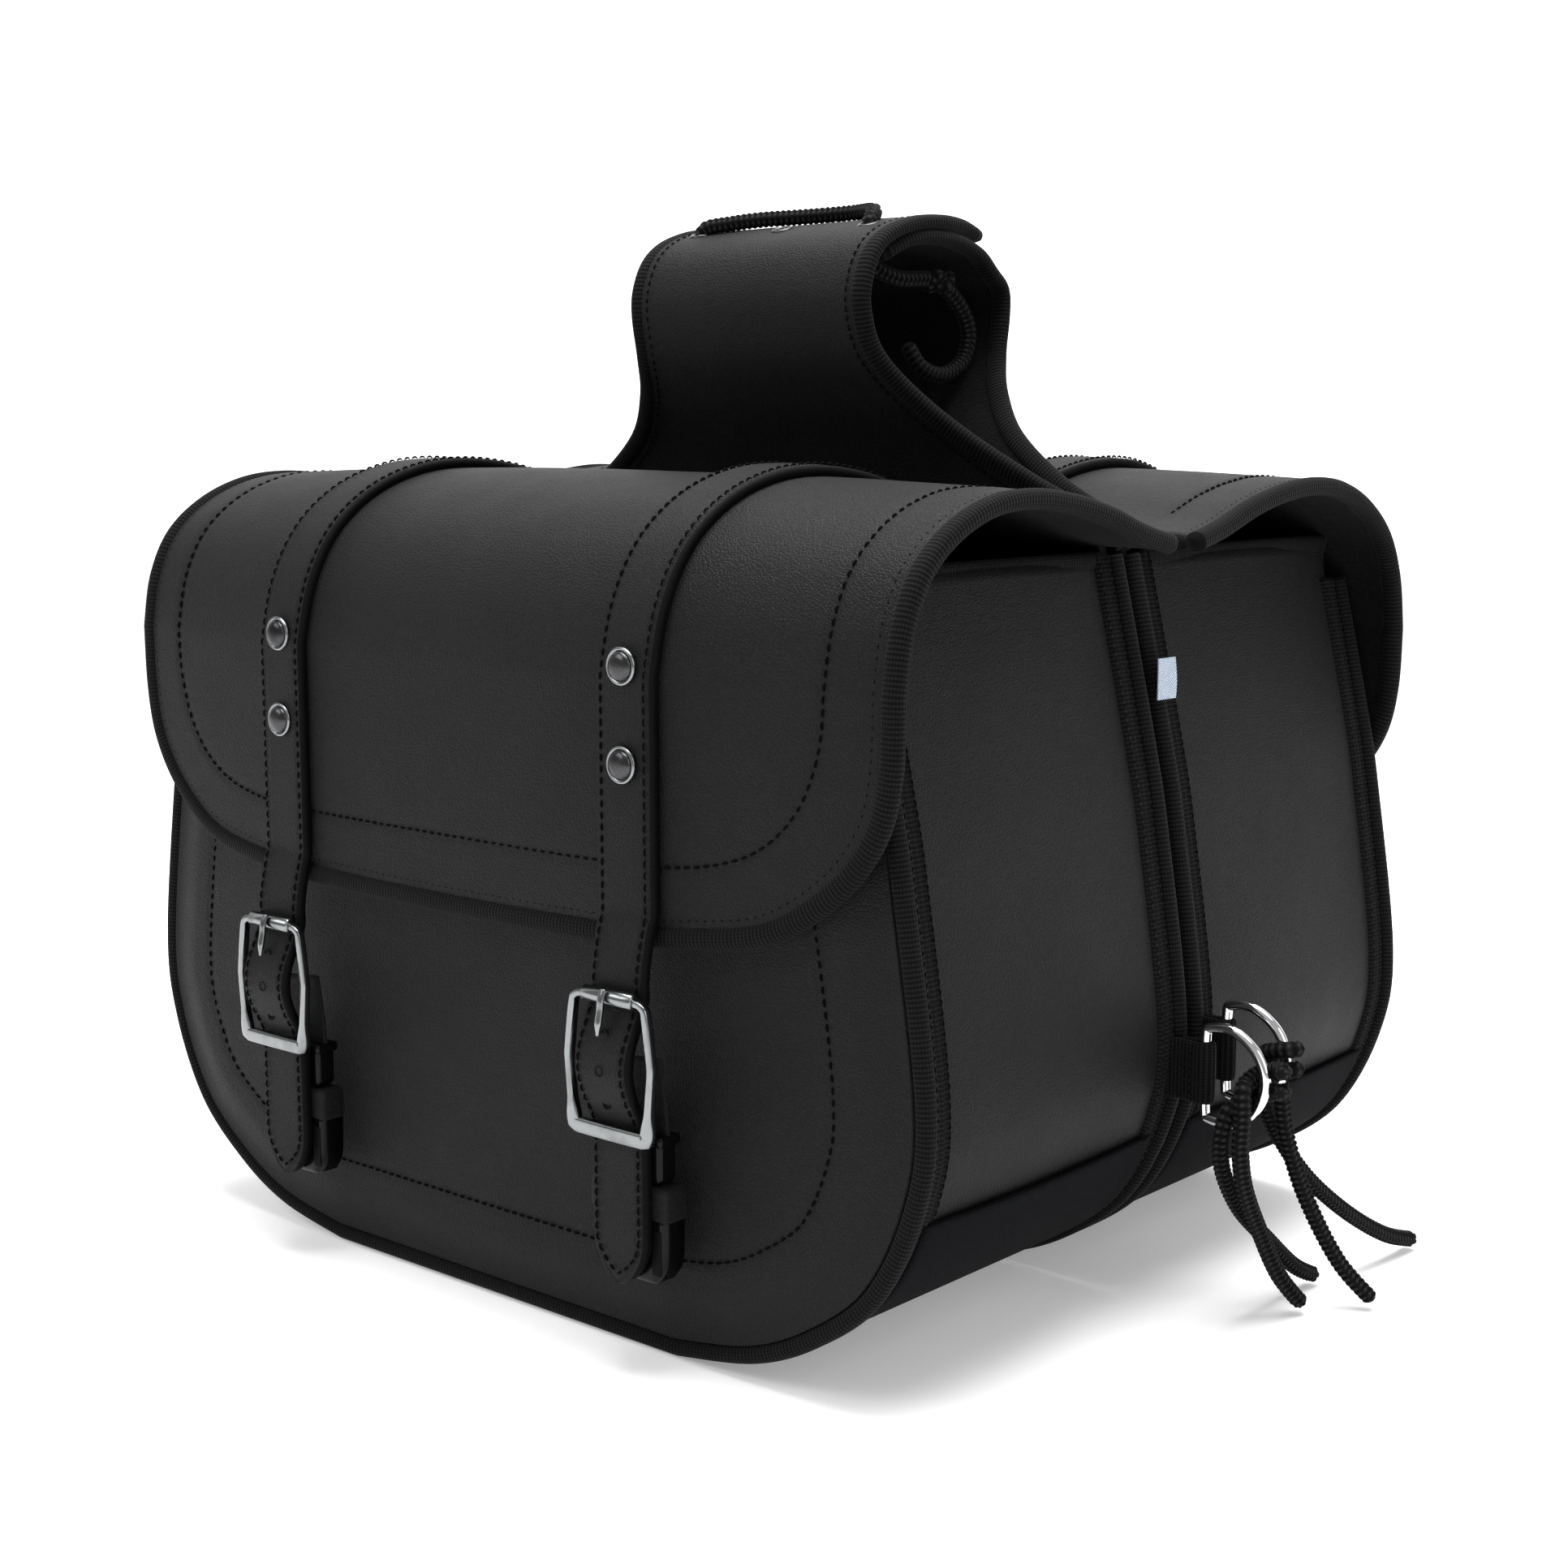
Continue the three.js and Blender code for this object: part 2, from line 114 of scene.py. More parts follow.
RINGS = {"front": (230.0, -9.2, 101.0), "rear": (228.0, 9.2, 106.0)}
RING_HALF, RING_REACH, RING_WIRE = 18.0, 26.0, 2.0
CORD_R = 3.25
YOKE_SHIFT, YOKE_T = 28.0, 4.0
YOKE = [
    (3.6, 301, 158), (4.5, 309, 146), (8, 322, 120), (17, 340, 92), (30, 358, 74), (41, 374, 65),
    (46, 390, 63), (45.5, 401, 63),
]
YOKE_OVER = [(40, 412.5, 63), (30, 420, 63), (14, 425, 63), (-4, 426.5, 63), (-19, 425.8, 61), (-30, 423, 60)]
YOKE_UNDER = [
    (38, 407.5, 63), (28, 415, 63), (12, 419.5, 63), (-6, 420.3, 63), (-19, 418, 62), (-29, 413, 60),
]
EYELET_X, EYELET_Y, EYELET_Z = (-20, 26, 72), -22.0, 424.9


# ---- camera and light ----
CAMERA_TURN, CAMERA_DOWN = 41.11, 8.73  # degrees round from the front, and down


def add_camera():
    data = bpy.data.cameras.new("camera")
    data.lens = 55.0
    data.sensor_width = 36.0
    camera = bpy.data.objects.new("camera", data)
    camera.location = Vector((0.693, -0.785, 0.349)) + Vector(ORIGIN)
    camera.rotation_euler = (math.radians(90 - CAMERA_DOWN), 0, math.radians(CAMERA_TURN))
    bpy.context.scene.collection.objects.link(camera)
    bpy.context.scene.camera = camera


def add_area(name, place, target, size, power):
    data = bpy.data.lights.new(name, "AREA")
    data.shape = "RECTANGLE"
    data.size, data.size_y = size
    data.energy = power
    light = bpy.data.objects.new(name, data)
    light.location = Vector(place) + Vector(ORIGIN)
    light.rotation_euler = (Vector(target) - Vector(place)).to_track_quat("-Z", "Y").to_euler()
    bpy.context.scene.collection.objects.link(light)


def add_studio():
    add_area("key", (-0.9, -1.9, 1.9), (0, 0, 0.2), (1.6, 1.2), 27)
    add_area("side", (2.2, -0.1, 1.2), (0, 0, 0.2), (1.2, 1.6), 14)
    add_area("top", (0.1, 0.1, 2.1), (0, 0, 0.2), (1.8, 1.4), 88)
    world = bpy.data.worlds.new("studio")
    world.use_nodes = True
    world.node_tree.nodes["Background"].inputs[0].default_value = (1, 1, 1, 1)
    world.node_tree.nodes["Background"].inputs[1].default_value = 0.42
    bpy.context.scene.world = world
    bpy.context.scene.view_settings.view_transform = "Standard"


# ---- curves in numpy ----
def spline(points, n, closed=False):
    """n + 1 points on the Catmull-Rom curve through the points."""
    p = np.array(points, float)
    count = len(p) if closed else len(p) - 1
    t = np.linspace(0, count, n + 1)
    i = np.minimum(t.astype(int), count - 1)
    f = (t - i)[:, None]
    pick = (lambda k: p[k % len(p)]) if closed else (lambda k: p[np.clip(k, 0, len(p) - 1)])
    a, b, c, d = pick(i - 1), pick(i), pick(i + 1), pick(i + 2)
    return 0.5 * (2 * b + (c - a) * f + (2 * a - 5 * b + 4 * c - d) * f**2 + (3 * b - a - 3 * c + d) * f**3)


def lengths(path):
    return np.concatenate([[0], np.cumsum(np.linalg.norm(np.diff(path, axis=0), axis=1))])


def even(path, step=None, n=None):
    """The path again, in even steps."""
    s = lengths(path)
    n = n or max(2, int(round(s[-1] / step)))
    at = np.linspace(0, s[-1], n + 1)
    return np.stack([np.interp(at, s, path[:, k]) for k in range(path.shape[1])], 1)


def unit(v):
    return v / np.maximum(np.linalg.norm(v, axis=-1, keepdims=True), 1e-9)


def inset(line, by):
    """A flat line moved to its right by that much, in x and z."""
    d = unit(np.gradient(line, axis=0))
    return line + by * np.stack([d[:, 1], -d[:, 0]], 1)


def bag_half(by, top, n=120):
    """Half the bag's outline, from the mouth down to the flat bottom."""
    line = even(inset(spline(OUTLINE, 240), by), n=400)
    line = line[line[:, 1] <= top]
    if top - line[0, 1] > 0.5:
        lean = (line[1] - line[0]) / (line[1, 1] - line[0, 1])
        line = np.vstack([line[0] + lean * (top - line[0, 1]), line])
    return even(line, n=n)


def bag_line(by, top, step=4.0):
    """The outline from the mouth at +X, under the bottom, to the mouth at -X."""
    half = bag_half(by, top)
    whole = np.vstack([half, half[::-1] * (-1, 1)])
    return even(whole, step=step)


def lift(line, y):
    """An x, z line as 3-D points at that y."""
    return np.stack([line[:, 0], np.full(len(line), float(y)), line[:, 1]], 1)


def near(points, path):
    """Distance of each point to a path of points."""
    flat = points.reshape(-1, 3)
    best = np.full(len(flat), 1e9)
    for start in range(0, len(path), 64):
        part = path[start:start + 64]
        best = np.minimum(best, np.linalg.norm(flat[:, None] - part[None], axis=2).min(1))
    return best.reshape(points.shape[:-1])


def step_up(t):
    t = np.clip(t, 0, 1)
    return t * t * (3 - 2 * t)


def wobble(points, size, seed):
    """Slow unevenness between -1 and 1, for bumps about that size."""
    flat = points.reshape(-1, 3)
    values = [noise.noise(Vector(p / size) + Vector((seed, 0, 0))) for p in flat]
    return np.array(values).reshape(points.shape[:-1])


# ---- meshes ----
def world(points):
    """The bags' millimetres as metres in the part's frame."""
    return np.asarray(points) * MM + ORIGIN


def new_object(name, verts, faces, uvs, material):
    data = bpy.data.meshes.new(name)
    data.from_pydata(world(verts).tolist(), [], faces)
    if uvs is not None:
        layer = data.uv_layers.new(name="UVMap")
        layer.data.foreach_set("uv", (np.asarray(uvs, float) * MM).ravel())
    for m in material if isinstance(material, (list, tuple)) else [material]:
        data.materials.append(m)
    data.polygons.foreach_set("use_smooth", [True] * len(data.polygons))
    data.update()
    obj = bpy.data.objects.new(name, data)
    bpy.context.scene.collection.objects.link(obj)
    return obj


def grid_uv(p, wrap):
    """UV in millimetres along the rows and columns of a grid."""
    q = np.concatenate([p, p[:, :1]], 1) if wrap else p
    u = np.concatenate([[0], np.cumsum(np.linalg.norm(np.diff(q.mean(1), axis=0), axis=1))])
    v = np.concatenate([[0], np.cumsum(np.linalg.norm(np.diff(q[len(q) // 2], axis=0), axis=1))])
    return np.stack(np.meshgrid(u, v, indexing="ij"), 2)


def faces_in(corners, centre):
    """Whether four-cornered faces look towards the centre, all told."""
    across, down = corners[:, 2] - corners[:, 0], corners[:, 3] - corners[:, 1]
    return np.sum(np.cross(across, down) * (corners.mean(1) - centre)) < 0


def grid(name, p, material, wrap=False, caps=False, ring=False, centre=None):
    """A surface through a grid of points: wrap closes each row, ring closes the rows on each other.

    It faces away from the centre, which is its own when none is given.
    """
    nu, nv = p.shape[:2]
    if ring:
        p = np.concatenate([p, p[:1]], 0)
    uv = grid_uv(p, wrap)
    rows = nu if ring else nu - 1
    i, j = (a.ravel() for a in np.meshgrid(np.arange(rows), np.arange(nv if wrap else nv - 1), indexing="ij"))
    i2, j2 = (i + 1) % nu, (j + 1) % nv
    quads = np.stack([i * nv + j, i2 * nv + j, i2 * nv + j2, i * nv + j2], 1)
    corners = np.stack([uv[i, j], uv[i + 1, j], uv[i + 1, j + 1], uv[i, j + 1]], 1)
    points = p[:nu].reshape(-1, 3)
    inward = faces_in(points[quads], points.mean(0) if centre is None else np.array(centre))
    if inward:
        quads, corners = quads[:, ::-1], corners[:, ::-1]
    faces, loops = quads.tolist(), corners.reshape(-1, 2)
    if caps:
        first, last = list(range(nv)), [(nu - 1) * nv + k for k in range(nv)][::-1]
        if inward:
            first, last = first[::-1], last[::-1]
        faces += [first, last]
        loops = np.vstack([loops, np.zeros((2 * nv, 2))])
    return new_object(name, points, faces, loops, material)


def solidify(obj, thickness, inside=None):
    """Gives an open surface thickness behind its face."""
    if inside:
        obj.data.materials.append(inside)
    m = obj.modifiers.new("thickness", "SOLIDIFY")
    m.thickness = thickness * MM
    m.offset = -1
    m.material_offset = 1 if inside else 0
    return obj


def section(width, height, power=2.6, n=16):
    """A rounded rectangular section, [across, out]."""
    a = np.linspace(0, 2 * math.pi, n, endpoint=False)
    c, s = np.cos(a), np.sin(a)
    x = np.sign(c) * np.abs(c) ** (2 / power) * width / 2
    y = np.sign(s) * np.abs(s) ** (2 / power) * height / 2
    return np.stack([x, y], 1)


def sweep(path, out, shape, closed=False):
    """A grid of points: the section carried along a path, with out as the section's second direction."""
    if closed:
        t = unit(np.roll(path, -1, 0) - np.roll(path, 1, 0))
    else:
        t = unit(np.gradient(path, axis=0))
    side = unit(np.cross(out, t))
    out = unit(np.cross(t, side))
    return path[:, None] + side[:, None] * shape[None, :, :1] + out[:, None] * shape[None, :, 1:]


def carried(path):
    """A direction across the path that turns as little as it can."""
    t = unit(np.gradient(path, axis=0))
    v = np.cross(t[0], (0.3, 0.2, 1.0))
    result = []
    for k in range(len(t)):
        v = v - t[k] * np.dot(v, t[k])
        v = v / np.linalg.norm(v)
        result.append(v)
    return np.array(result)


STITCH_SINK = 0.05  # how deep the thread lies, in thread widths


def stitches(name, path, out, material, pitch=4.4, length=3.1, width=0.75):
    """A row of separate stitches lying on a surface, each a small rounded thread."""
    s = lengths(path)
    at = np.arange(pitch, s[-1] - pitch / 2, pitch)
    point = np.stack([np.interp(at, s, path[:, k]) for k in range(3)], 1)
    normal = unit(np.stack([np.interp(at, s, out[:, k]) for k in range(3)], 1))
    ahead = unit(np.stack([np.interp(at + 0.5, s, path[:, k]) for k in range(3)], 1) - point)
    side = unit(np.cross(normal, ahead))
    angles = np.linspace(0, 2 * math.pi, 6, endpoint=False)
    along = [(-0.5, 0.35, -0.25), (-0.32, 0.9, 0.2), (0, 1, 0.45), (0.32, 0.9, 0.2), (0.5, 0.35, -0.25)]
    half = width / 2
    shape = np.array([(x * length, r * half * math.cos(a), width * (h - STITCH_SINK) + r * half * math.sin(a))
                      for x, r, h in along for a in angles])
    verts = (point[:, None] + ahead[:, None] * shape[None, :, :1] + side[:, None] * shape[None, :, 1:2]
             + normal[:, None] * shape[None, :, 2:])
    n = len(angles)
    one = [[r * n + k, r * n + (k + 1) % n, (r + 1) * n + (k + 1) % n, (r + 1) * n + k]
           for r in range(len(along) - 1) for k in range(n)]
    one += [list(range(n))[::-1], [(len(along) - 1) * n + k for k in range(n)]]
    faces = [[v + i * len(shape) for v in f] for i in range(len(at)) for f in one]
    return new_object(name, verts.reshape(-1, 3), faces, None, material)


def lathe(name, profile, centre, axis, material, n=40):
    """A turned piece: profile is [radius, height along the axis]."""
    axis = np.array(axis, float)
    u = unit(np.cross(axis, (1.0, 0, 0) if abs(axis[0]) < 0.9 else (0, 1.0, 0)))
    v = np.cross(axis, u)
    a = np.linspace(0, 2 * math.pi, n, endpoint=False)
    ring = np.cos(a)[:, None] * u + np.sin(a)[:, None] * v
    p = np.array([np.array(centre) + axis * h + ring * max(r, 0.01) for r, h in profile])
    return grid(name, p, material, wrap=True, caps=True)


def rounded_box(name, low, high, material, radius=1.5, segments=3):
    """A moulded block with rounded edges."""
    (x0, y0, z0), (x1, y1, z1) = low, high
    verts = [(x, y, z) for x in (x0, x1) for y in (y0, y1) for z in (z0, z1)]
    faces = [(0, 1, 3, 2), (4, 6, 7, 5), (0, 4, 5, 1), (2, 3, 7, 6), (0, 2, 6, 4), (1, 5, 7, 3)]
    obj = new_object(name, verts, faces, None, material)
    bevel = obj.modifiers.new("edges", "BEVEL")
    bevel.width = radius * MM
    bevel.segments = segments
    return obj


def joined(name, objs):
    """Several meshes made into one piece, modifiers applied."""
    graph = bpy.context.evaluated_depsgraph_get()
    verts, faces, uvs, slots, materials = [], [], [], [], []
    for obj in objs:
        data = obj.evaluated_get(graph).to_mesh()
        offset = sum(len(v) for v in verts)
        co = np.zeros(len(data.vertices) * 3)
        data.vertices.foreach_get("co", co)
        verts.append(co.reshape(-1, 3))
        layer = data.uv_layers.active
        for f in data.polygons:
            faces.append([v + offset for v in f.vertices])
            uvs += [tuple(layer.data[k].uv) if layer else (0.0, 0.0) for k in f.loop_indices]
            material = obj.data.materials[f.material_index]
            if material not in materials:
                materials.append(material)
            slots.append(materials.index(material))
        obj.evaluated_get(graph).to_mesh_clear()
    result = new_object(name, (np.vstack(verts) - ORIGIN) / MM, faces, np.array(uvs) / MM, materials)
    result.data.polygons.foreach_set("material_index", slots)
    for obj in objs:
        bpy.data.objects.remove(obj)
    return result


# ---- materials ----
class Nodes:
    """A material's node tree, with short calls to add and join nodes."""

    def __init__(self, name):
        self.material = bpy.data.materials.new(name)
        self.material.use_nodes = True
        self.tree = self.material.node_tree
        self.shader = self.tree.nodes["Principled BSDF"]

    def add(self, kind, values=(), **settings):
        node = self.tree.nodes.new(kind)
        for key, value in settings.items():
            setattr(node, key, value)
        for key, value in dict(values).items():
            if isinstance(value, bpy.types.NodeSocket):
                self.tree.links.new(value, node.inputs[key])
            else:
                node.inputs[key].default_value = value
        return node

    def math(self, operation, a, b=0.0, c=0.0):
        node = self.add("ShaderNodeMath", {0: a, 1: b, 2: c}, operation=operation)
        return node.outputs[0]

    def place(self, uv=False):
        return self.add("ShaderNodeTexCoord").outputs["UV" if uv else "Object"]

    def noise(self, scale, detail=4.0):
        values = {"Vector": self.place(), "Scale": scale, "Detail": detail, "Roughness": 0.6}
        return self.add("ShaderNodeTexNoise", values).outputs["Fac"]

    def cells(self, scale, feature):
        values = {"Vector": self.place(), "Scale": scale}
        return self.add("ShaderNodeTexVoronoi", values, feature=feature).outputs["Distance"]

    def colours(self, factor, *stops):
        ramp = self.add("ShaderNodeValToRGB", {"Fac": factor})
        elements = ramp.color_ramp.elements
        while len(elements) < len(stops):
            elements.new(0.5)
        for element, (position, colour) in zip(elements, stops):
            element.position = position
            element.color = (*colour, 1)
        self.tree.links.new(ramp.outputs[0], self.shader.inputs["Base Color"])

    def range(self, factor, low, high, socket):
        node = self.add("ShaderNodeMapRange", {"Value": factor, "To Min": low, "To Max": high})
        self.tree.links.new(node.outputs[0], self.shader.inputs[socket])

    def bump(self, *heights):
        """heights are (value, strength, distance in millimetres), laid over each other."""
        last = None
        for value, strength, distance in heights:
            values = {"Height": value, "Strength": strength, "Distance": distance * MM}
            if last:
                values["Normal"] = last
            last = self.add("ShaderNodeBump", values).outputs[0]
        self.tree.links.new(last, self.shader.inputs["Normal"])

    def set(self, **values):
        for key, value in values.items():
            self.shader.inputs[key.replace("_", " ")].default_value = value
        return self.material

    def ribs(self, axis, pitch):
        """Ridges across one UV direction, pitch in millimetres, as a value from 0 to 1."""
        part = self.add("ShaderNodeSeparateXYZ", {0: self.place(uv=True)}).outputs[axis]
        wave = self.math("SINE", self.math("MULTIPLY", part, 2 * math.pi / (pitch * MM)))
        return self.math("MULTIPLY_ADD", wave, 0.5, 0.5)


def leather(name, dark, light, grain=1.0):
    n = Nodes(name)
    patch = n.noise(14, 5)
    n.colours(patch, (0.3, dark), (0.72, light))
    pebbles = n.cells(760 / grain, "DISTANCE_TO_EDGE")
    fine = n.noise(1500, 3)
    n.range(n.noise(55, 4), 0.50, 0.64, "Roughness")
    n.bump((n.noise(9, 3), 0.25, 2.0), (n.math("MINIMUM", pebbles, 0.22), 0.9, 0.8), (fine, 0.35, 0.15))
    return n.set(Specular_IOR_Level=0.14, Sheen_Weight=0.01, Sheen_Roughness=0.5)


def tape(name, base, pitch=1.5, cross=0.9):
    n = Nodes(name)
    ribs, threads = n.ribs(0, pitch), n.ribs(1, cross)
    weave = n.math("MULTIPLY", ribs, n.math("MULTIPLY_ADD", threads, 0.5, 0.5))
    # The colour ramp paints shade into the rib valleys, down to a tenth of the base, and a highlight onto the
    # ridges, up to 3.4 times the base.
    n.colours(weave, (0.1, [c * 0.1 for c in base]), (0.5, base), (1.0, [c * 3.4 for c in base]))
    n.bump((weave, 0.8, 0.35), (n.noise(2600, 3), 0.4, 0.15))
    return n.set(Roughness=0.85, Sheen_Weight=0.02, Sheen_Roughness=0.4, Specular_IOR_Level=0.1)


def woven(name, base):
    n = Nodes(name)
    warp, weft = n.ribs(0, 1.3), n.ribs(1, 1.1)
    weave = n.math("MULTIPLY_ADD", n.math("ABSOLUTE", n.math("SUBTRACT", warp, weft)), 0.8, 0.1)
    mixed = n.math("ADD", weave, n.math("MULTIPLY", n.noise(900, 2), 0.35))
    n.colours(mixed, (0.2, [c * 0.5 for c in base]), (0.7, base), (1.0, [c * 2.0 for c in base]))
    n.bump((weave, 0.8, 0.45), (n.noise(1800, 4), 0.5, 0.2))
    return n.set(Roughness=0.92, Sheen_Weight=0.01, Sheen_Roughness=0.5, Specular_IOR_Level=0.05)


def fleece(name, base):
    n = Nodes(name)
    n.colours(n.noise(420, 5), (0.3, [c * 0.5 for c in base]), (0.75, [c * 1.7 for c in base]))
    n.bump((n.noise(650, 6), 1.0, 1.0), (n.noise(2400, 3), 0.6, 0.3))
    return n.set(Roughness=0.97, Sheen_Weight=0.02, Sheen_Roughness=0.6, Specular_IOR_Level=0.05)


def metal(name, base, dark, rough):
    n = Nodes(name)
    n.colours(n.noise(60, 6), (0.3, dark), (0.5, base))
    n.range(n.noise(420, 5), rough * 0.7, rough * 1.5, "Roughness")
    n.bump((n.noise(700, 4), 0.12, 0.15))
    return n.set(Metallic=1.0)


def plain(name, base, rough, bump_scale=1500, spec=0.5):
    n = Nodes(name)
    n.colours(n.noise(60, 3), (0.3, [c * 0.85 for c in base]), (0.7, [c * 1.15 for c in base]))
    n.range(n.noise(240, 4), rough * 0.85, rough * 1.2, "Roughness")
    n.bump((n.noise(bump_scale, 3), 0.15, 0.1))
    return n.set(Specular_IOR_Level=spec)


LEATHER = leather("leatherette", (0.0022, 0.0022, 0.0024), (0.0036, 0.0036, 0.0039))
STRAP_LEATHER = leather("strap_leather", (0.0024, 0.0024, 0.0025), (0.0038, 0.0038, 0.0040), 0.8)
# Dark edge paint for the straps' cut sides; on the clip slots and in the strap holes the same dark is painted
# shade.
EDGE_PAINT_AND_SHADE = plain("edge_paint_and_painted_shade", (0.0014, 0.0014, 0.0015), 0.7, spec=0.08)
LINING = fleece("lining", (0.0028, 0.0028, 0.0030))
TAPE_CLOTH = tape("binding_tape", (0.0030, 0.0030, 0.0032), 1.7, 1.2)
WOVEN = woven("woven_band", (0.0011, 0.0013, 0.0021))
THREAD = plain("thread", (0.0010, 0.0010, 0.0011), 0.8, spec=0.05)
NICKEL = metal("antique_nickel", (0.21, 0.218, 0.222), (0.13, 0.134, 0.137), 0.2)
BLACK_NICKEL = metal("black_nickel", (0.055, 0.055, 0.057), (0.028, 0.028, 0.03), 0.25)
CHROME = metal("chrome", (0.86, 0.86, 0.88), (0.72, 0.72, 0.74), 0.09)
PLASTIC = plain("gloss_plastic", (0.0018, 0.0018, 0.0019), 0.2, 900, spec=0.12)
BRAID = tape("braid", (0.0066, 0.0066, 0.0070), 2.5, 3.4)
LABEL = woven("label_cloth", (0.38, 0.44, 0.52))


# ---- placing pieces on the bags ----
def turned(obj, name):
    """The rear bag's copy of a front bag's piece."""
    copy = obj.copy()
    copy.name = name
    copy.data = obj.data.copy()
    copy.data.transform(Matrix.Translation(2 * Vector(ORIGIN)) @ Matrix.Rotation(math.pi, 4, "Z"))
    bpy.context.scene.collection.objects.link(copy)
    return copy


def on_both(obj, body, nodes=(), bend=None):
    """Puts a front bag's piece, and its copy on the rear bag, on their bodies.

    body and nodes are named without the bag. bend is (body, start, end): when it is given, the piece is only
    baked in place and put on no body; its body, start and end are not used.
    """
    name = obj.name
    obj.name = f"front_{name}"
    pieces = {"front": obj, "rear": turned(obj, f"rear_{name}")}
    for bag, piece in pieces.items():
        if bend:
            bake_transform(piece)
        else:
            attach(piece, f"{bag}_{body}")
        if nodes:
            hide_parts(*[f"{bag}_{n}" for n in nodes])
    return pieces


LID_BEND = ("lid", (0, -8, 304), (0, -30, 304))


# ---- panels, gusset and bindings ----
def panel_grid(by, top, y, columns=110):
    half = bag_half(by, top, n=110)
    across = np.sin(np.linspace(-1, 1, columns + 1) * math.pi / 2 * 0.92) / math.sin(math.pi / 2 * 0.92)
    p = np.empty((len(half), len(across), 3))
    p[..., 0] = half[:, :1] * across
    p[..., 1] = y
    p[..., 2] = half[:, 1:]
    return p


def outer_panel():
    y = FRONT_Y + 1
    p = panel_grid(PANEL_INSET, FRONT_TOP, y)
    rim = lift(bag_line(PANEL_INSET, FRONT_TOP, 2.0), y)
    seam = lift(bag_line(PANEL_STITCH, FRONT_TOP, 2.0), y)
    edge, groove = near(p, rim), near(p, seam)
    inner = step_up((edge - 34) / 60)
    puff = 4.2 * step_up(edge / 22) + 1.8 * inner
    p[..., 1] -= puff - 0.7 * np.exp(-(groove / 1.6) ** 2) + 0.5 * wobble(p, 70, 3) * step_up(edge / 30)
    skin = solidify(grid("panel", p, LEATHER, centre=BAG_MIDDLE), 4, LINING)
    on_both(skin, "bag", ["outer_panel"])
    seam[:, 1] -= 4.2 - 0.45
    row = stitches("panel_stitches", seam, np.tile((0.0, -1, 0), (len(seam), 1)), THREAD, width=1.0)
    on_both(row, "bag")


def inner_panel():
    p = panel_grid(PANEL_INSET, HINGE, BACK_Y - 2, 60)
    p[..., 1] += 0.4 * wobble(p, 60, 8)
    obj = solidify(grid("back", p, LEATHER, centre=BAG_MIDDLE), 5, LINING)
    on_both(obj, "bag", ["inner_panel"])


def outline_out(line):
    """Directions out of the bag along an x, z outline."""
    d = unit(np.gradient(line, axis=0))
    return np.stack([-d[:, 1], np.zeros(len(d)), d[:, 0]], 1)


def bindings():
    """Piped edges of both seams, each with a ribbed tape and two rows of stitches beside it."""
    for name, top, outer_y, way in (("outer", FRONT_TOP, FRONT_Y, 1), ("inner", BACK_TOP, BACK_Y, -1)):
        line = bag_line(3.6, top, 2.2)
        path = lift(line, outer_y + way * 3.7)
        pipe = grid("pipe", sweep(path, outline_out(line), section(7.4, 7.2, 2.2, 18)), TAPE_CLOTH, wrap=True,
                    caps=True)
        flat = bag_line(4.1, top, 2.2)
        strip = section(TAPE, 2.6, 3.4, 44)
        strip[:, 1] += 0.5 * np.cos(strip[:, 0] / TAPE * 6 * math.pi) * (strip[:, 1] > 0)
        band = grid("band", sweep(lift(flat, outer_y + way * 12.2), outline_out(flat), strip), TAPE_CLOTH,
                    wrap=True, caps=True)
        on_both(joined(f"{name}_edge", [pipe, band]), "bag", [f"{name}_binding"])
        for k, across in enumerate((8.6, 15.6)):
            seam = bag_line(2.75, top, 3.0)
            row = stitches(f"{name}_edge_stitches_{k}", lift(seam, outer_y + way * across), outline_out(seam),
                           THREAD, pitch=3.6, length=2.6)
            on_both(row, "bag")


def gusset():
    """The leatherette ends and bottom, which swell a little between the seams."""
    line = bag_line(4.6, MOUTH, 4.0)
    out = outline_out(line)
    across = np.linspace(0, 1, 33)
    y = GUSSET_Y[0] + (GUSSET_Y[1] - GUSSET_Y[0]) * across
    p = np.repeat(lift(line, 0)[:, None], len(y), 1)
    p[..., 1] = y
    swell = np.sin(across * math.pi)[None] ** 0.7 * step_up((line[:, 1] - 20) / 90)[:, None]
    p += out[:, None] * (2.2 * swell + 0.8 * swell * wobble(p, 55, 21))[..., None]
    on_both(solidify(grid("ends", p, LEATHER, centre=BAG_MIDDLE), 3.4, LINING), "bag", ["gusset"])
    low = bag_line(2.2, SEAM, 3.0)
    out = outline_out(low)
    p = np.repeat(lift(low, 0)[:, None], len(y), 1)
    p[..., 1] = y
    swell = np.sin(across * math.pi)[None] ** 0.7 * step_up((low[:, 1] - 20) / 60)[:, None]
    p += out[:, None] * (2.6 * swell)[..., None]
    on_both(solidify(grid("low_band", p, WOVEN, centre=BAG_MIDDLE), 1.4), "bag", ["gusset_band"])
    ends = []
    for sign in (1, -1):
        x, z = bag_half(6.2, MOUTH)[0]
        turn = GUSSET_Y[0] + 1
        corner = [(turn, FRONT_TOP - 6), (turn, z - 6), (turn + 2, z - 1), (turn + 7, z), (GUSSET_Y[1], z)]
        path = even(spline([(sign * x, y, height) for y, height in corner], 200), n=90)
        bound = sweep(path, np.tile((float(sign), 0, 0), (len(path), 1)), section(8.5, 6.4, 2.6, 16))
        ends.append(grid(f"mouth_{sign}", bound, TAPE_CLOTH, wrap=True, caps=True))
    on_both(joined("mouth_binding", ends), "bag")


# ---- lid ----
ARCH_LINE = even(spline(ARCH, 200), n=46)


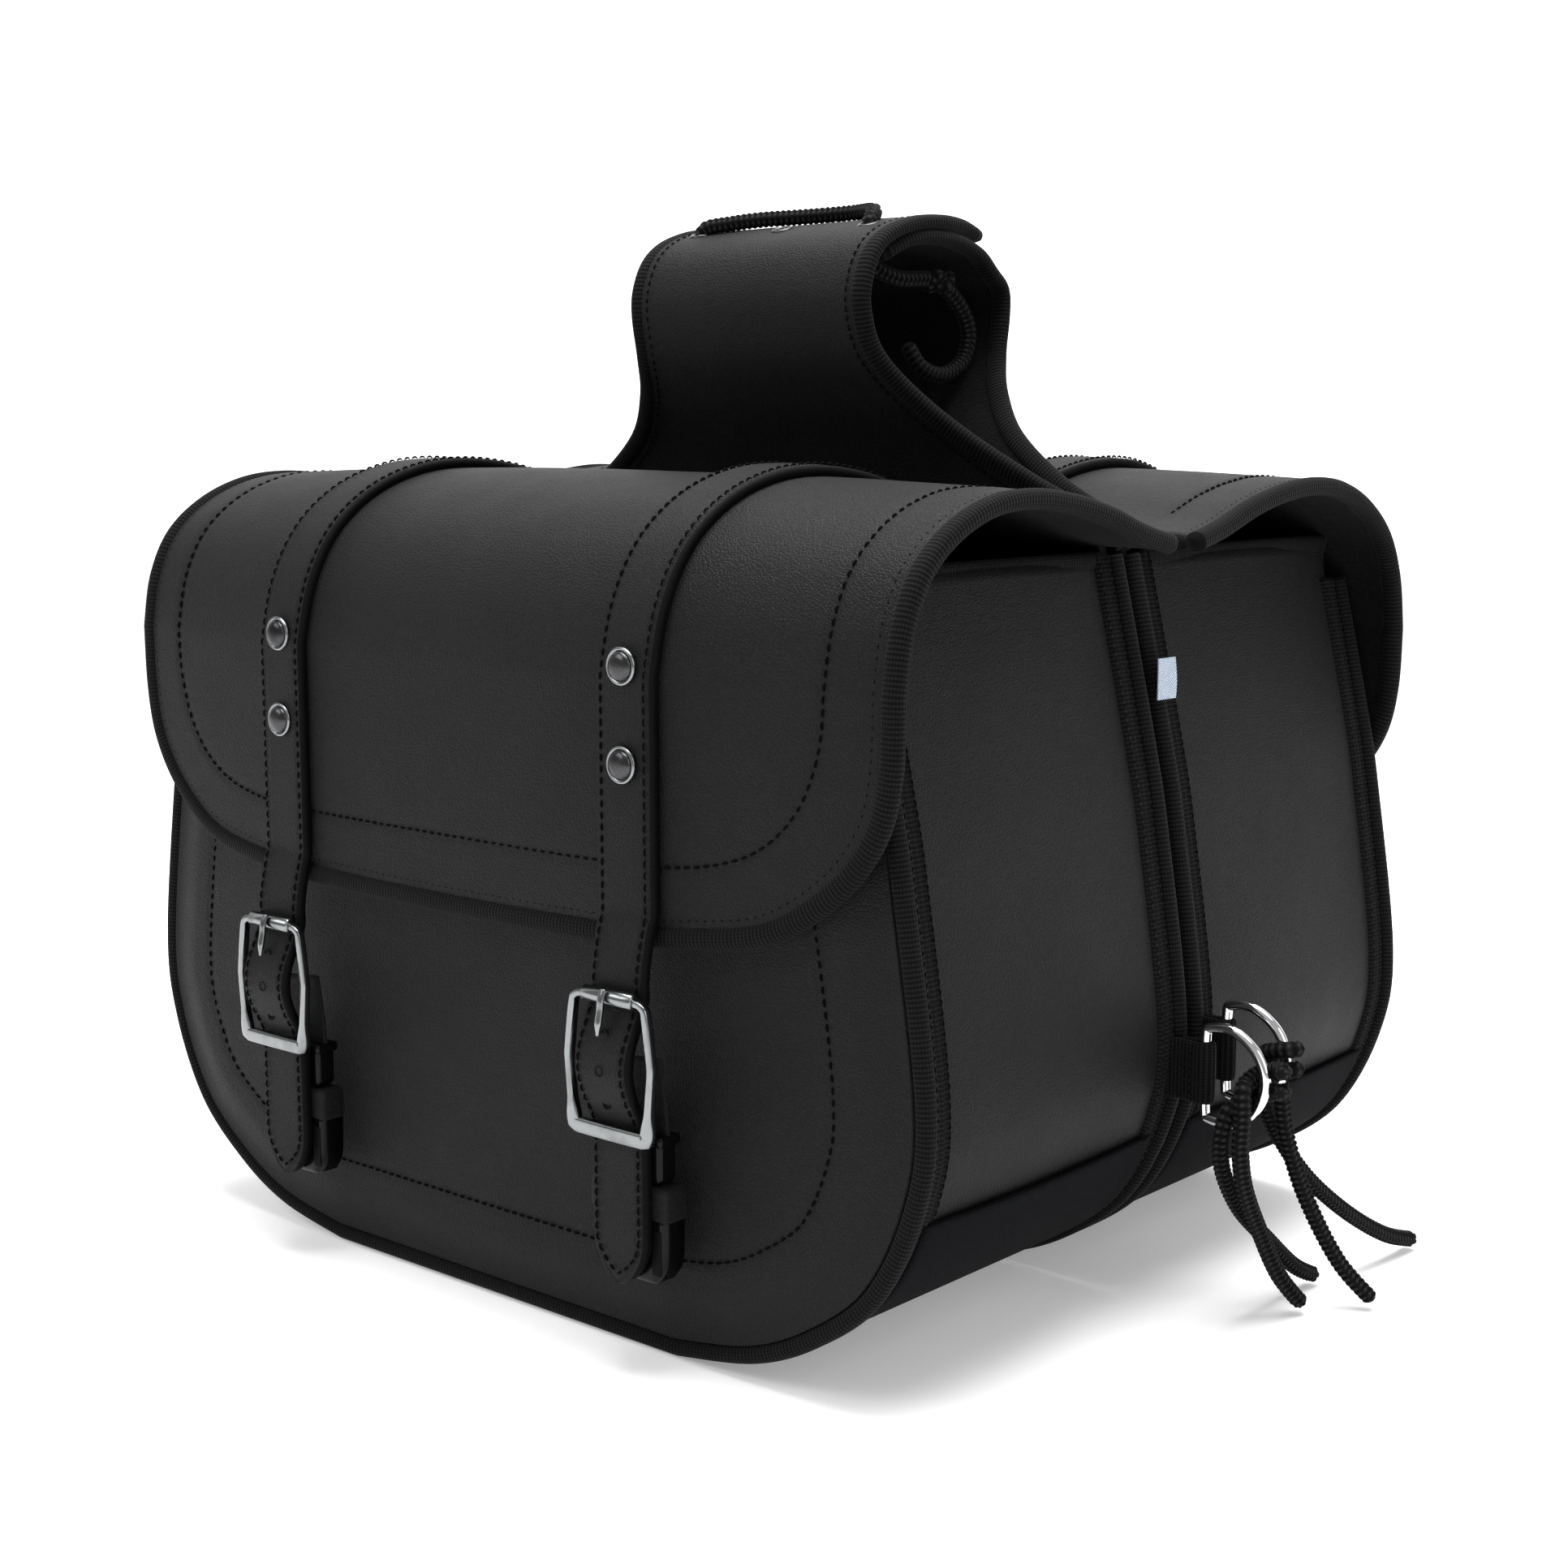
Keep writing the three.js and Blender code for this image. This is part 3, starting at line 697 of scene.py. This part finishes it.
def lid_point_rows(x, foot, depth, flap_rows=44):
    """Points down the lid at each x, as far as foot, depth below its outer face: a grid and its normals."""
    t = np.linspace(0, 1, flap_rows + 1)[1:]
    rows = []
    for low in foot:
        flap = np.stack([np.full(len(t), ARCH[-1][0]), FLAP_TOP + (low - FLAP_TOP) * t, np.ones(len(t))], 1)
        rows.append(np.vstack([ARCH_LINE, flap]))
    base = np.array(rows)
    d = np.gradient(base[..., :2], axis=1)
    d[:, len(ARCH_LINE) - 1:] = (0, -1)
    d = unit(d)
    out = np.stack([d[..., 1], -d[..., 0]], 2)
    amount = LID_BULGE * (1 - (x[:, None] / LID_HALF) ** 2) * base[..., 2] - depth
    p = np.empty((*base.shape[:2], 3))
    p[..., 0] = x[:, None]
    p[..., 1:] = base[..., :2] + out * amount[..., None]
    normals = np.concatenate([np.zeros((*base.shape[:2], 1)), out], 2)
    return p, normals


def foot_at(x, by):
    line = inset(spline(CORNER, 300), by)
    order = np.argsort(line[:, 0])
    return np.interp(np.abs(x), line[order, 0], line[order, 1])


def lid_path(corner, depth):
    """A line on the lid: over the arch at each end and round the flap, given the flap's part as x, z."""
    side = corner[0][0]
    arch, out = lid_point_rows(np.array([side]), np.array([FLAP_TOP]), depth, 1)
    arch, out = arch[0, :len(ARCH_LINE)], out[0, :len(ARCH_LINE)]
    flap = np.empty((len(corner) - 1, 3))
    flap_out = np.tile((0.0, -1, 0), (len(flap), 1))
    for k, (x, z) in enumerate(corner[1:]):
        rows, _ = lid_point_rows(np.array([x]), np.array([z]), depth, 1)
        flap[k] = rows[0, -1]
    half, half_out = np.vstack([arch, flap]), np.vstack([out, flap_out])
    mirror = half[::-1] * (-1, 1, 1)
    return np.vstack([half, mirror[1:]]), np.vstack([half_out, half_out[::-1][1:]])


def lid():
    by = 2 * BIND - 1.5
    half = LID_HALF - by
    x = half * np.sin(np.linspace(-1, 1, 121) * math.pi / 2 * 0.9) / math.sin(math.pi / 2 * 0.9)
    p, out = lid_point_rows(x, foot_at(x, by), 0)
    rim, _ = lid_path(inset(spline(CORNER, 120), by), 0)
    seam, seam_out = lid_path(spline(LID_STITCH, 120), 0)
    edge, groove = near(p, even(rim, step=2.5)), near(p, even(seam, step=2.0))
    hinge = step_up((-p[..., 1] - 12) / 30)
    height = -1.2 * np.exp(-(edge / 5.0)) - 0.7 * np.exp(-(groove / 1.6) ** 2) * hinge
    height += 0.5 * wobble(p, 80, 40) * step_up(edge / 30) * hinge
    p = p + out * height[..., None]
    skin = solidify(grid("lid_shell", p, LEATHER, centre=BAG_MIDDLE), 5.0, LINING)
    on_both(skin, "bag", ["lid"], bend=LID_BEND)
    seam = seam - seam_out * 0.45
    s = lengths(seam)
    keep = (s > 22) & (s < s[-1] - 22)
    row = stitches("lid_stitches", seam[keep], seam_out[keep], THREAD, width=1.0)
    on_both(row, "bag", bend=LID_BEND)


def lid_binding():
    path, out = lid_path(inset(spline(CORNER, 120), BIND), LID_SKIN / 2)
    s = lengths(path)
    at = np.linspace(0, s[-1], 560)
    path = np.stack([np.interp(at, s, path[:, k]) for k in range(3)], 1)
    out = unit(np.stack([np.interp(at, s, out[:, k]) for k in range(3)], 1))
    p = sweep(path, out, section(8.4, 7.6, 2.3, 20))
    edge = grid("lid_edge", p, TAPE_CLOTH, wrap=True, caps=True)
    on_both(edge, "bag", ["lid_binding"], bend=LID_BEND)
    seam, seam_out = lid_path(inset(spline(CORNER, 120), 2 * BIND + 2.5), -0.2)
    row = stitches("lid_edge_stitches", seam - seam_out * 1.2, seam_out, THREAD, pitch=3.8, length=2.7)
    on_both(row, "bag", bend=LID_BEND)


# ---- straps ----
def strap_section(half, thick):
    """Round a strap's section from its top face: [across, depth], with rounded edges and sunk seams."""
    across = np.linspace(-1, 1, 25)
    crown = 0.35 * (1 - across**2) - 0.35 * np.exp(-((np.abs(across) * half - half + 3) / 0.9) ** 2)
    shoulder = 1.1 * np.maximum(0, np.abs(across) * half - half + 1.1) ** 2 / 1.21
    top = np.stack([across * half, -thick - crown + shoulder], 1)
    under = np.stack([across[::-1][::3] * (half - 0.2), np.zeros(9)], 1)
    return np.vstack([top, under])


def strap_rows(centre):
    """Rings of points round a strap: over the lid from behind its crest, then down the hanging tail."""
    over = []
    for across, depth in strap_section(STRAP_HALF, STRAP_T - 0.2):
        column, _ = lid_point_rows(np.array([centre + across]), np.array([TAIL_TOP + 2]), depth - 0.4, 30)
        over.append(column[0, STRAP_FROM:])
    tail = []
    for z, half, out in even(spline(TAIL, 300), n=150):
        shape = strap_section(max(half, 0.6), STRAP_T - 0.2)
        tail.append([(centre + a, TAIL_Y + STRAP_T - out + d, z) for a, d in shape])
    return np.concatenate([np.stack(over, 1), np.array(tail)], 0)


def darken_sides(obj, ring):
    """The painted cut edges of a strap: faces near the ends of its section."""
    obj.data.materials.append(EDGE_PAINT_AND_SHADE)
    faces = len(obj.data.polygons) - 2
    side = [1 if k % ring in (0, 23, 24, 33) else 0 for k in range(faces)] + [0, 0]
    obj.data.polygons.foreach_set("material_index", side)


def straps():
    for side, sign in SIDES:
        centre = sign * STRAP_X
        back = TAIL_Y + STRAP_T
        bend = (f"tail_{side}", (centre, back, TAIL_TOP), (centre, back, TAIL_TOP - 14))
        p = strap_rows(centre)
        obj = grid(f"strap_{side}_whole", p, STRAP_LEATHER, wrap=True, caps=True)
        darken_sides(obj, p.shape[1])
        on_both(obj, "lid", [f"strap_{side}", f"strap_tail_{side}"], bend=bend)
        face = p[:, 12]
        half = np.maximum(p[:, 24, 0] - p[:, 0, 0], 0.1) / 2
        inner = np.maximum(half - 2.8, 0.0)
        rise = 3.4 * step_up((60 - face[:, 2]) / 24)
        edges = [face + np.stack([k * inner, 0 * inner, rise], 1) for k in (-1, 1)]
        path = even(np.vstack([edges[0], edges[1][::-1]]), step=1.2)
        ahead = unit(np.gradient(face, axis=0))
        outward = unit(np.cross(ahead, (1.0, 0, 0)))
        outward *= np.where(outward[:, 1:2] > 0.4, -1, 1)
        nearest = [np.argmin(np.linalg.norm(face - q, axis=1)) for q in path]
        row = stitches(f"strap_{side}_stitches", path, outward[nearest], THREAD, pitch=4.2, length=3.1,
                       width=0.95)
        on_both(row, "lid", bend=bend)
        holes = []
        # Each hole is a shallow dark dish set in the strap's face: dark edge paint on its cut rim, and
        # painted shade where the hole goes through.
        for z in (131.0, 118.0, 105.0):
            out = np.interp(-z, [-t[0] for t in TAIL], [t[2] for t in TAIL])
            rim = [(0.3, 0.9), (1.2, 0.6), (1.6, 0.05), (1.9, -0.12), (2.1, 0.3)]
            middle = (centre, TAIL_Y - out - 0.45, z)
            holes.append(lathe(f"hole_{z:.0f}", rim, middle, (0, 1, 0), EDGE_PAINT_AND_SHADE, 20))
        on_both(joined(f"strap_{side}_holes", holes), f"tail_{side}")


def rivets():
    rim = [(5.4, -0.6), (6.8, -0.6), (7.0, 0.2), (6.9, 0.9), (6.5, 1.25), (5.9, 1.2), (5.6, 0.9), (5.3, 0.8)]
    dome = [(5.6, 0.2), (5.5, 1.1), (5.1, 1.9), (4.3, 2.6), (3.0, 3.1), (1.5, 3.35), (0, 3.4)]
    for side, sign in SIDES:
        for level in ("upper", "lower"):
            low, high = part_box(f"front_rivet_{side}_{level}")
            centre = (sign * STRAP_X, high[1] / MM, (low[2] + high[2]) / 2 / MM)
            parts = [lathe("rim", rim, centre, (0, -1, 0), NICKEL),
                     lathe("dome", dome, centre, (0, -1, 0), BLACK_NICKEL)]
            on_both(joined(f"rivet_{side}_{level}_cap", parts), "lid", [f"rivet_{side}_{level}"])


# ---- buckles and clips ----
def buckles():
    half = [(12, BUCKLE_LOW), (17.4, BUCKLE_LOW + 0.4), (18.7, BUCKLE_LOW + 3), (20.6, 118), (20.6, 122),
            (18.4, BUCKLE_TOP - 5), (16.8, BUCKLE_TOP - 1.3), (11, BUCKLE_TOP)]
    loop = half + [(-x, z) for x, z in half[::-1]]
    for side, sign in SIDES:
        centre = sign * STRAP_X
        path = even(spline([(centre + x, BUCKLE_Y, z) for x, z in loop], 300, closed=True), n=160)[:-1]
        p = sweep(path, np.tile((0.0, -1, 0), (len(path), 1)), section(3.2, 3.6, 4.0, 20), True)
        low = 1 - step_up((path[:, 2] - BUCKLE_LOW - 2.5) / 9)
        high = step_up((path[:, 2] - BUCKLE_TOP + 7) / 5)
        across = 1 + (0.85 * low - 0.1 * high)[:, None, None]
        p = path[:, None] + (p - path[:, None]) * np.concatenate([across, np.ones_like(across), across], 2)
        wire = grid("wire", p, NICKEL, wrap=True, ring=True)
        turned_profile = [(0, -12.6), (2.6, -12.6), (3.0, -12.2), (3.0, 12.2), (2.6, 12.6), (0, 12.6)]
        roller = lathe("roller", turned_profile, (centre, BUCKLE_Y, BUCKLE_TOP), (1, 0, 0), NICKEL, 28)
        on_both(joined(f"buckle_{side}", [wire, roller]), f"tail_{side}", [f"buckle_frame_{side}"])
        line = [(-2.9, BUCKLE_TOP + 3.3), (-4.3, BUCKLE_TOP), (-4.8, BUCKLE_TOP - 4),
                (-5.8, BUCKLE_TOP - 9), (-6.2, BUCKLE_TOP - 13)]
        path = even(spline([(centre, BUCKLE_Y + y, z) for y, z in line], 60), n=40)
        p = sweep(path, np.tile((1.0, 0, 0), (len(path), 1)), section(2.2, 3.0, 2.4, 12))
        s = np.linspace(0, 1, len(path))
        taper = 1 - 0.55 * step_up((s - 0.72) / 0.28)
        p = path[:, None] + (p - path[:, None]) * taper[:, None, None]
        prong = grid(f"prong_{side}", p, NICKEL, wrap=True, caps=True)
        on_both(prong, f"prong_{side}", [f"buckle_prong_{side}"])


def clips():
    """Side-release clips: a gloss socket with a matte loop round its mouth, and a plug on a narrow strap."""
    low, mouth, top = CLIP["low"], CLIP["mouth"], CLIP["top"]
    back, front, half = CLIP["back"], CLIP["front"], CLIP["half"]
    for side, sign in SIDES:
        c = sign * STRAP_X
        corner = [(half - 1, mouth - 12), (half - 1.5, low + 9), (half - 5, low + 2), (half - 9, low)]
        outline = [(c - x, z) for x, z in corner] + [(c + x, z) for x, z in corner[::-1]]
        socket = even(spline(outline, 80), n=60)
        middle = np.array([c, (low + mouth) / 2])
        levels = ((front + 1.2, 2.4), (front + 1.5, 1.0), (front + 2.6, 0.0), (back, 0.0))
        p = np.array([lift(middle + (socket - middle) * (1 - k / half), y) for y, k in levels])
        shell = grid("shell", p, PLASTIC, wrap=True, caps=True)
        # The two slots are thin dark patches on the socket's face: painted shade where its side windows open.
        slots = [rounded_box(f"slot_{k}", (c + x0, front + 0.9, low + 4), (c + x1, front + 1.6, mouth - 16),
                             EDGE_PAINT_AND_SHADE, 0.8, 2) for k, (x0, x1) in enumerate(((-16.5, -12), (12, 16.5)))]
        band = rounded_box("band", (c - half - 0.6, front + 0.7, mouth - 13),
                           (c + half + 0.6, back + 0.4, mouth), STRAP_LEATHER, 1.8, 3)
        socket = joined(f"clip_socket_{side}", [shell, band] + slots)
        on_both(socket, f"clip_{side}", [f"clip_female_{side}"])
        plug = rounded_box("plug", (c - half + 3.5, front + 1.6, mouth + 0.6),
                           (c + half - 3.5, back - 0.8, top - 6), PLASTIC, 2.4, 4)
        lip = rounded_box("lip", (c - half + 2, front + 0.8, top - 9), (c + half - 2, back - 0.4, top - 5),
                          PLASTIC, 1.2, 3)
        rows = np.array([(c + 4, -184.5, top - 8), (c + 3, -185, top + 6), (c + 1.5, -186, top + 22)])
        rows = even(spline(rows, 20), n=16)
        strip = grid("strip", sweep(rows, np.tile((0.0, -1, 0), (len(rows), 1)), section(25, 2.2, 5, 20)),
                     STRAP_LEATHER, wrap=True, caps=True)
        whole = joined(f"clip_plug_{side}", [plug, lip, strip])
        on_both(whole, f"tail_{side}", [f"clip_male_{side}"])


# ---- rings, tabs and cords ----
def braid(name, points, radius):
    """A cord with the plaits of a round braid in its surface, and the points it follows."""
    path = even(spline(points, 40 * len(points)), step=0.45)
    sides, columns, plait = 24, 6, 5.0
    a = np.linspace(0, 2 * math.pi, sides, endpoint=False)
    s = lengths(path)
    column = np.floor(a / (2 * math.pi) * columns)
    across = a / (2 * math.pi) * columns - column - 0.5
    lean = np.where(column % 2 == 0, 1.0, -1.0) * across * 0.55
    phase = s[:, None] / plait * 2 + lean[None] + (column % 2)[None] * 0.5
    bump = np.abs(np.cos(math.pi * phase)) ** 0.6 * (1 - (2 * np.abs(across[None])) ** 4 * 0.7)
    r = radius * (0.76 + 0.30 * bump)
    end = np.minimum(s, s[-1] - s)[:, None]
    r = r * np.minimum(1, 0.45 + 0.55 * np.sqrt(np.clip(end / 2.2, 0, 1)))
    up = carried(path)
    side = np.cross(unit(np.gradient(path, axis=0)), up)
    round_it = np.cos(a)[None, :, None] * up[:, None] + np.sin(a)[None, :, None] * side[:, None]
    p = path[:, None] + r[..., None] * round_it
    return grid(name, p, BRAID, wrap=True, caps=True), path


TIE_CORDS = {
    "front_tie_cord_a": [(262.4, -9.2, 106), (260.5, -4.6, 106), (255.5, -2.9, 105), (250, -4.8, 103),
                         (248, -10, 100), (249.5, -14.8, 97), (250.5, -16.2, 88), (249.5, -15, 74),
                         (248.5, -9, 58), (248, 4, 38), (250, 16, 18), (254, 28, 3.6)],
    "front_tie_cord_b": [(262.4, -9.2, 98.5), (260.5, -4.6, 98), (255, -2.9, 96), (249, -4.8, 93.5),
                         (245, -10, 91.5), (243.5, -15.5, 88), (242, -17, 78), (240.5, -12, 64), (240, 2, 46),
                         (240, 24, 28), (241, 44, 12), (242, 60, 3.6)],
    "rear_tie_cord_a": [(260.4, 9.2, 112), (258.5, 4.6, 112), (253, 3.4, 111), (247.8, 5.4, 109),
                        (246, 10.5, 106), (247, 15, 102), (248, 17, 92), (249, 20, 74), (253, 29, 48),
                        (262, 41, 20), (273, 50, 3.6)],
    "rear_tie_cord_b": [(260.4, 9.2, 104), (258.5, 4.6, 104), (252.5, 3.4, 102), (246.5, 5.4, 99.5),
                        (242, 10.5, 97.5), (240.5, 15.5, 94), (240, 19, 84), (241, 30, 68), (244, 48, 48),
                        (248, 74, 28), (251, 102, 12), (252, 126, 3.6)],
}
LACE = [
    (-20, -20, 405), (-20, -20.5, 414), (-20, -21.5, 422), (-17.5, -21, 427.6), (-8, -17, 429.4),
    (5, -11.5, 430.8), (28, -2.5, 431.7), (46, 1.5, 432.4), (60, -5, 432), (69, -15, 429.8), (72, -21, 425),
    (72, -20.5, 416), (72, -19, 409), (75, -6, 404.5), (77, 14, 404.5), (79, 28, 396), (80, 35, 384),
    (80, 31, 372), (80, 17, 366), (79, 4, 369), (77, -3, 378),
]


def cords():
    for name, points in TIE_CORDS.items():
        bag = name.split("_")[0]
        obj, path = braid(f"{name}_braid", points, CORD_R)
        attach(obj, f"{bag}_ring")
        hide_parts(name)
    obj, path = braid("lace_braid", LACE, CORD_R)
    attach(obj, "rear_bag")
    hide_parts("lace")
    knot = lace_knot("lace_knot", (77.5, 17, 404), 5.0)


def lace_knot(name, centre, size):
    """An overhand knot drawn tight: a short braid wound round itself."""
    t = np.linspace(0, 2 * math.pi * 0.92, 40)
    knot = np.stack([
        centre[0] + size * 0.62 * (np.sin(t) + 2 * np.sin(2 * t)) / 2,
        centre[1] + size * 0.62 * (np.cos(t) - 2 * np.cos(2 * t)) / 2,
        centre[2] - size * 0.45 * np.sin(3 * t),
    ], 1)
    obj, _ = braid(name, knot[::3], CORD_R * 0.8)
    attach(obj, "rear_bag")
    return obj


def d_rings():
    h, r = RING_HALF, RING_REACH
    loop = [(0, -h + 3), (0, 0), (0, h - 3), (1.6, h - 0.4), (r * 0.45, h), (r * 0.85, h * 0.6), (r, 0),
            (r * 0.85, -h * 0.6), (r * 0.45, -h), (1.6, -h + 0.4)]
    for bag, (x, y, z) in RINGS.items():
        path = even(spline([(x + dx, y, z + dz) for dx, dz in loop], 300, closed=True), n=140)[:-1]
        wire = section(2 * RING_WIRE, 2 * RING_WIRE, 2, 18)
        p = sweep(path, np.tile((0.0, 1, 0), (len(path), 1)), wire, True)
        obj = grid(f"{bag}_ring_wire", p, CHROME, wrap=True, ring=True)
        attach(obj, f"{bag}_ring")
        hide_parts(f"{bag}_d_ring")


def ring_tabs():
    """Webbing folded round each ring's bar and sewn into the seam."""
    for bag, (x, y, z) in RINGS.items():
        start = 206.0
        turn = np.linspace(-math.pi / 2, math.pi / 2, 14)
        reach = RING_WIRE + 1.1
        fold = [(x + reach * math.cos(a), y + reach * math.sin(a)) for a in turn]
        line = np.array([(start, y - 1.6), (x - 8, y - 1.9)] + fold + [(x - 8, y + 1.9), (start, y + 1.6)])
        flat = even(np.stack([line[:, 0], line[:, 1]], 1), step=0.8)
        path = np.stack([flat[:, 0], flat[:, 1], np.full(len(flat), z)], 1)
        d = unit(np.gradient(path, axis=0))
        out = np.stack([d[:, 1], -d[:, 0], d[:, 2]], 1)
        body = grid(f"{bag}_tab", sweep(path, out, section(24, 1.7, 4, 20)), TAPE_CLOTH, wrap=True, caps=True)
        rows = [body]
        for k, xs in enumerate((x - 7.5, x - 5.0)):
            seam = np.stack([np.full(40, xs), np.full(40, y - 2.8), np.linspace(z - 11, z + 11, 40)], 1)
            rows.append(stitches(f"tab_row_{k}", seam, np.tile((0.0, -1, 0), (40, 1)), THREAD, 3.0, 2.2))
        obj = joined(f"{bag}_tab_webbing", rows)
        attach(obj, f"{bag}_bag")
        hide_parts(f"{bag}_ring_tab")


# ---- yoke ----
def yoke_sheet(sign, crown, side):
    """One yoke half's sheet: rows up the half, columns across it. side is 1 for the outer face."""
    line = even(spline([(sign * a, z, w) for a, z, w in YOKE + crown], 300), n=90)
    d = unit(np.gradient(line[:, :2], axis=0))
    out = np.stack([d[:, 1], -d[:, 0]], 1) * sign
    across = np.linspace(-1, 1, 61)
    p = np.empty((len(line), len(across), 3))
    p[..., 0] = YOKE_SHIFT + (line[:, 2:] - 3.5) * across
    p[..., 1:] = (line[:, :2] + out * side * YOKE_T / 2)[:, None]
    return p, out, line


def yoke():
    for bag, sign, crown in (("front", -1, YOKE_OVER), ("rear", 1, YOKE_UNDER)):
        p, out, line = yoke_sheet(sign, crown, 1)
        normal = np.concatenate([np.zeros((len(out), 1)), out], 1)
        rise = step_up((line[:, 1] - 305) / 40)[:, None]
        p = p + normal[:, None] * (0.9 * wobble(p, 45, 60 + sign) * rise)[..., None]
        sheet = grid(f"{bag}_yoke", p, LEATHER, centre=(YOKE_SHIFT, 0, 385))
        solidify(sheet, YOKE_T - 0.4, LINING)
        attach(sheet, f"{bag}_bag")
        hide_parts(f"yoke_{bag}_half")
        mid = line[:, :2]
        right = np.stack([YOKE_SHIFT + line[:, 2] - 2.5, mid[:, 0], mid[:, 1]], 1)
        left = right * (-1, 1, 1) + (2 * YOKE_SHIFT, 0, 0)
        end = np.linspace(right[-1], left[-1], 30)[1:-1]
        path = np.vstack([right, end, left[::-1]])
        outs = np.vstack([normal, np.tile(normal[-1], (len(end), 1)), normal[::-1]])
        s = lengths(path)
        at = np.arange(0, s[-1], 1.6)
        path = np.stack([np.interp(at, s, path[:, k]) for k in range(3)], 1)
        outs = unit(np.stack([np.interp(at, s, outs[:, k]) for k in range(3)], 1))
        edge = grid(f"{bag}_yoke_edge", sweep(path, outs, section(8.4, 6.0, 2.4, 18)), TAPE_CLOTH, wrap=True,
                    caps=True)
        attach(edge, f"{bag}_bag")
        inner = path + outs * (YOKE_T / 2 + 0.2)
        towards = unit(np.cross(outs, unit(np.gradient(path, axis=0))))
        centre = np.array([YOKE_SHIFT, 0, 0])
        flip = np.sign(np.sum(towards * (centre - path) * (1, 0, 0), axis=1))
        seam = inner + towards * flip[:, None] * 6.2
        row = stitches(f"{bag}_yoke_stitches", seam[8:-8], outs[8:-8], THREAD, 3.8, 2.7)
        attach(row, f"{bag}_bag")


def eyelets():
    """Dark rolled eyelets along the front of the lacing."""
    rim = [(2.6, -0.5), (2.7, 0.5), (3.2, 0.95), (4.0, 0.9), (4.6, 0.45), (4.7, -0.3)]
    parts = []
    for k, x in enumerate(EYELET_X):
        parts.append(lathe(f"eyelet_{k}", rim, (x, EYELET_Y, EYELET_Z), (0, -0.29, 0.957), BLACK_NICKEL, 28))
    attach(joined("eyelet_row", parts), "front_bag")


def label():
    low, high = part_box("label")
    (x0, y0, z0), (_, y1, z1) = (np.array(low) - ORIGIN) / MM, (np.array(high) - ORIGIN) / MM
    rows = np.linspace(0, 1, 24)
    cols = np.linspace(0, 1, 16)
    p = np.empty((24, 16, 3))
    p[..., 0] = x0 + 0.6 + 0.9 * np.sin(rows * 2.4)[:, None] * cols[None]
    p[..., 1] = y0 + (y1 - y0) * cols[None]
    p[..., 2] = z1 + (z0 - z1) * rows[:, None]
    obj = solidify(grid("label_tag", p, LABEL), 0.5)
    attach(obj, "rear_bag")
    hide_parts("label")


def stage_plane(name, corners, glow):
    data = bpy.data.meshes.new(name)
    data.from_pydata(corners, [], [(0, 1, 2, 3)])
    obj = bpy.data.objects.new(name, data)
    material = Nodes(name).set(Base_Color=(0.88, 0.88, 0.88, 1), Roughness=0.9, Specular_IOR_Level=0.1,
                               Emission_Color=(1, 1, 1, 1), Emission_Strength=glow)
    data.materials.append(material)
    bpy.context.scene.collection.objects.link(obj)


def studio_stage():
    """A pale floor and a white wall behind, as in a product studio."""
    low, size, wall = cad_box[0][2] - 0.0005, 7.0, 4.5
    square = ((-size, -size, low), (size, -size, low), (size, size, low), (-size, size, low))
    stage_plane("floor", square, 0.25)
    turn = Matrix.Rotation(math.radians(CAMERA_TURN), 4, "Z")
    upright = ((-size, wall, low), (size, wall, low), (size, wall, 6), (-size, wall, 6))
    stage_plane("wall", [turn @ Vector(c) for c in upright], 0.8)


add_camera()
cords()
add_studio()
studio_stage()
outer_panel()
inner_panel()
bindings()
gusset()
lid()
lid_binding()
straps()
rivets()
buckles()
clips()
d_rings()
ring_tabs()
yoke()
eyelets()
label()
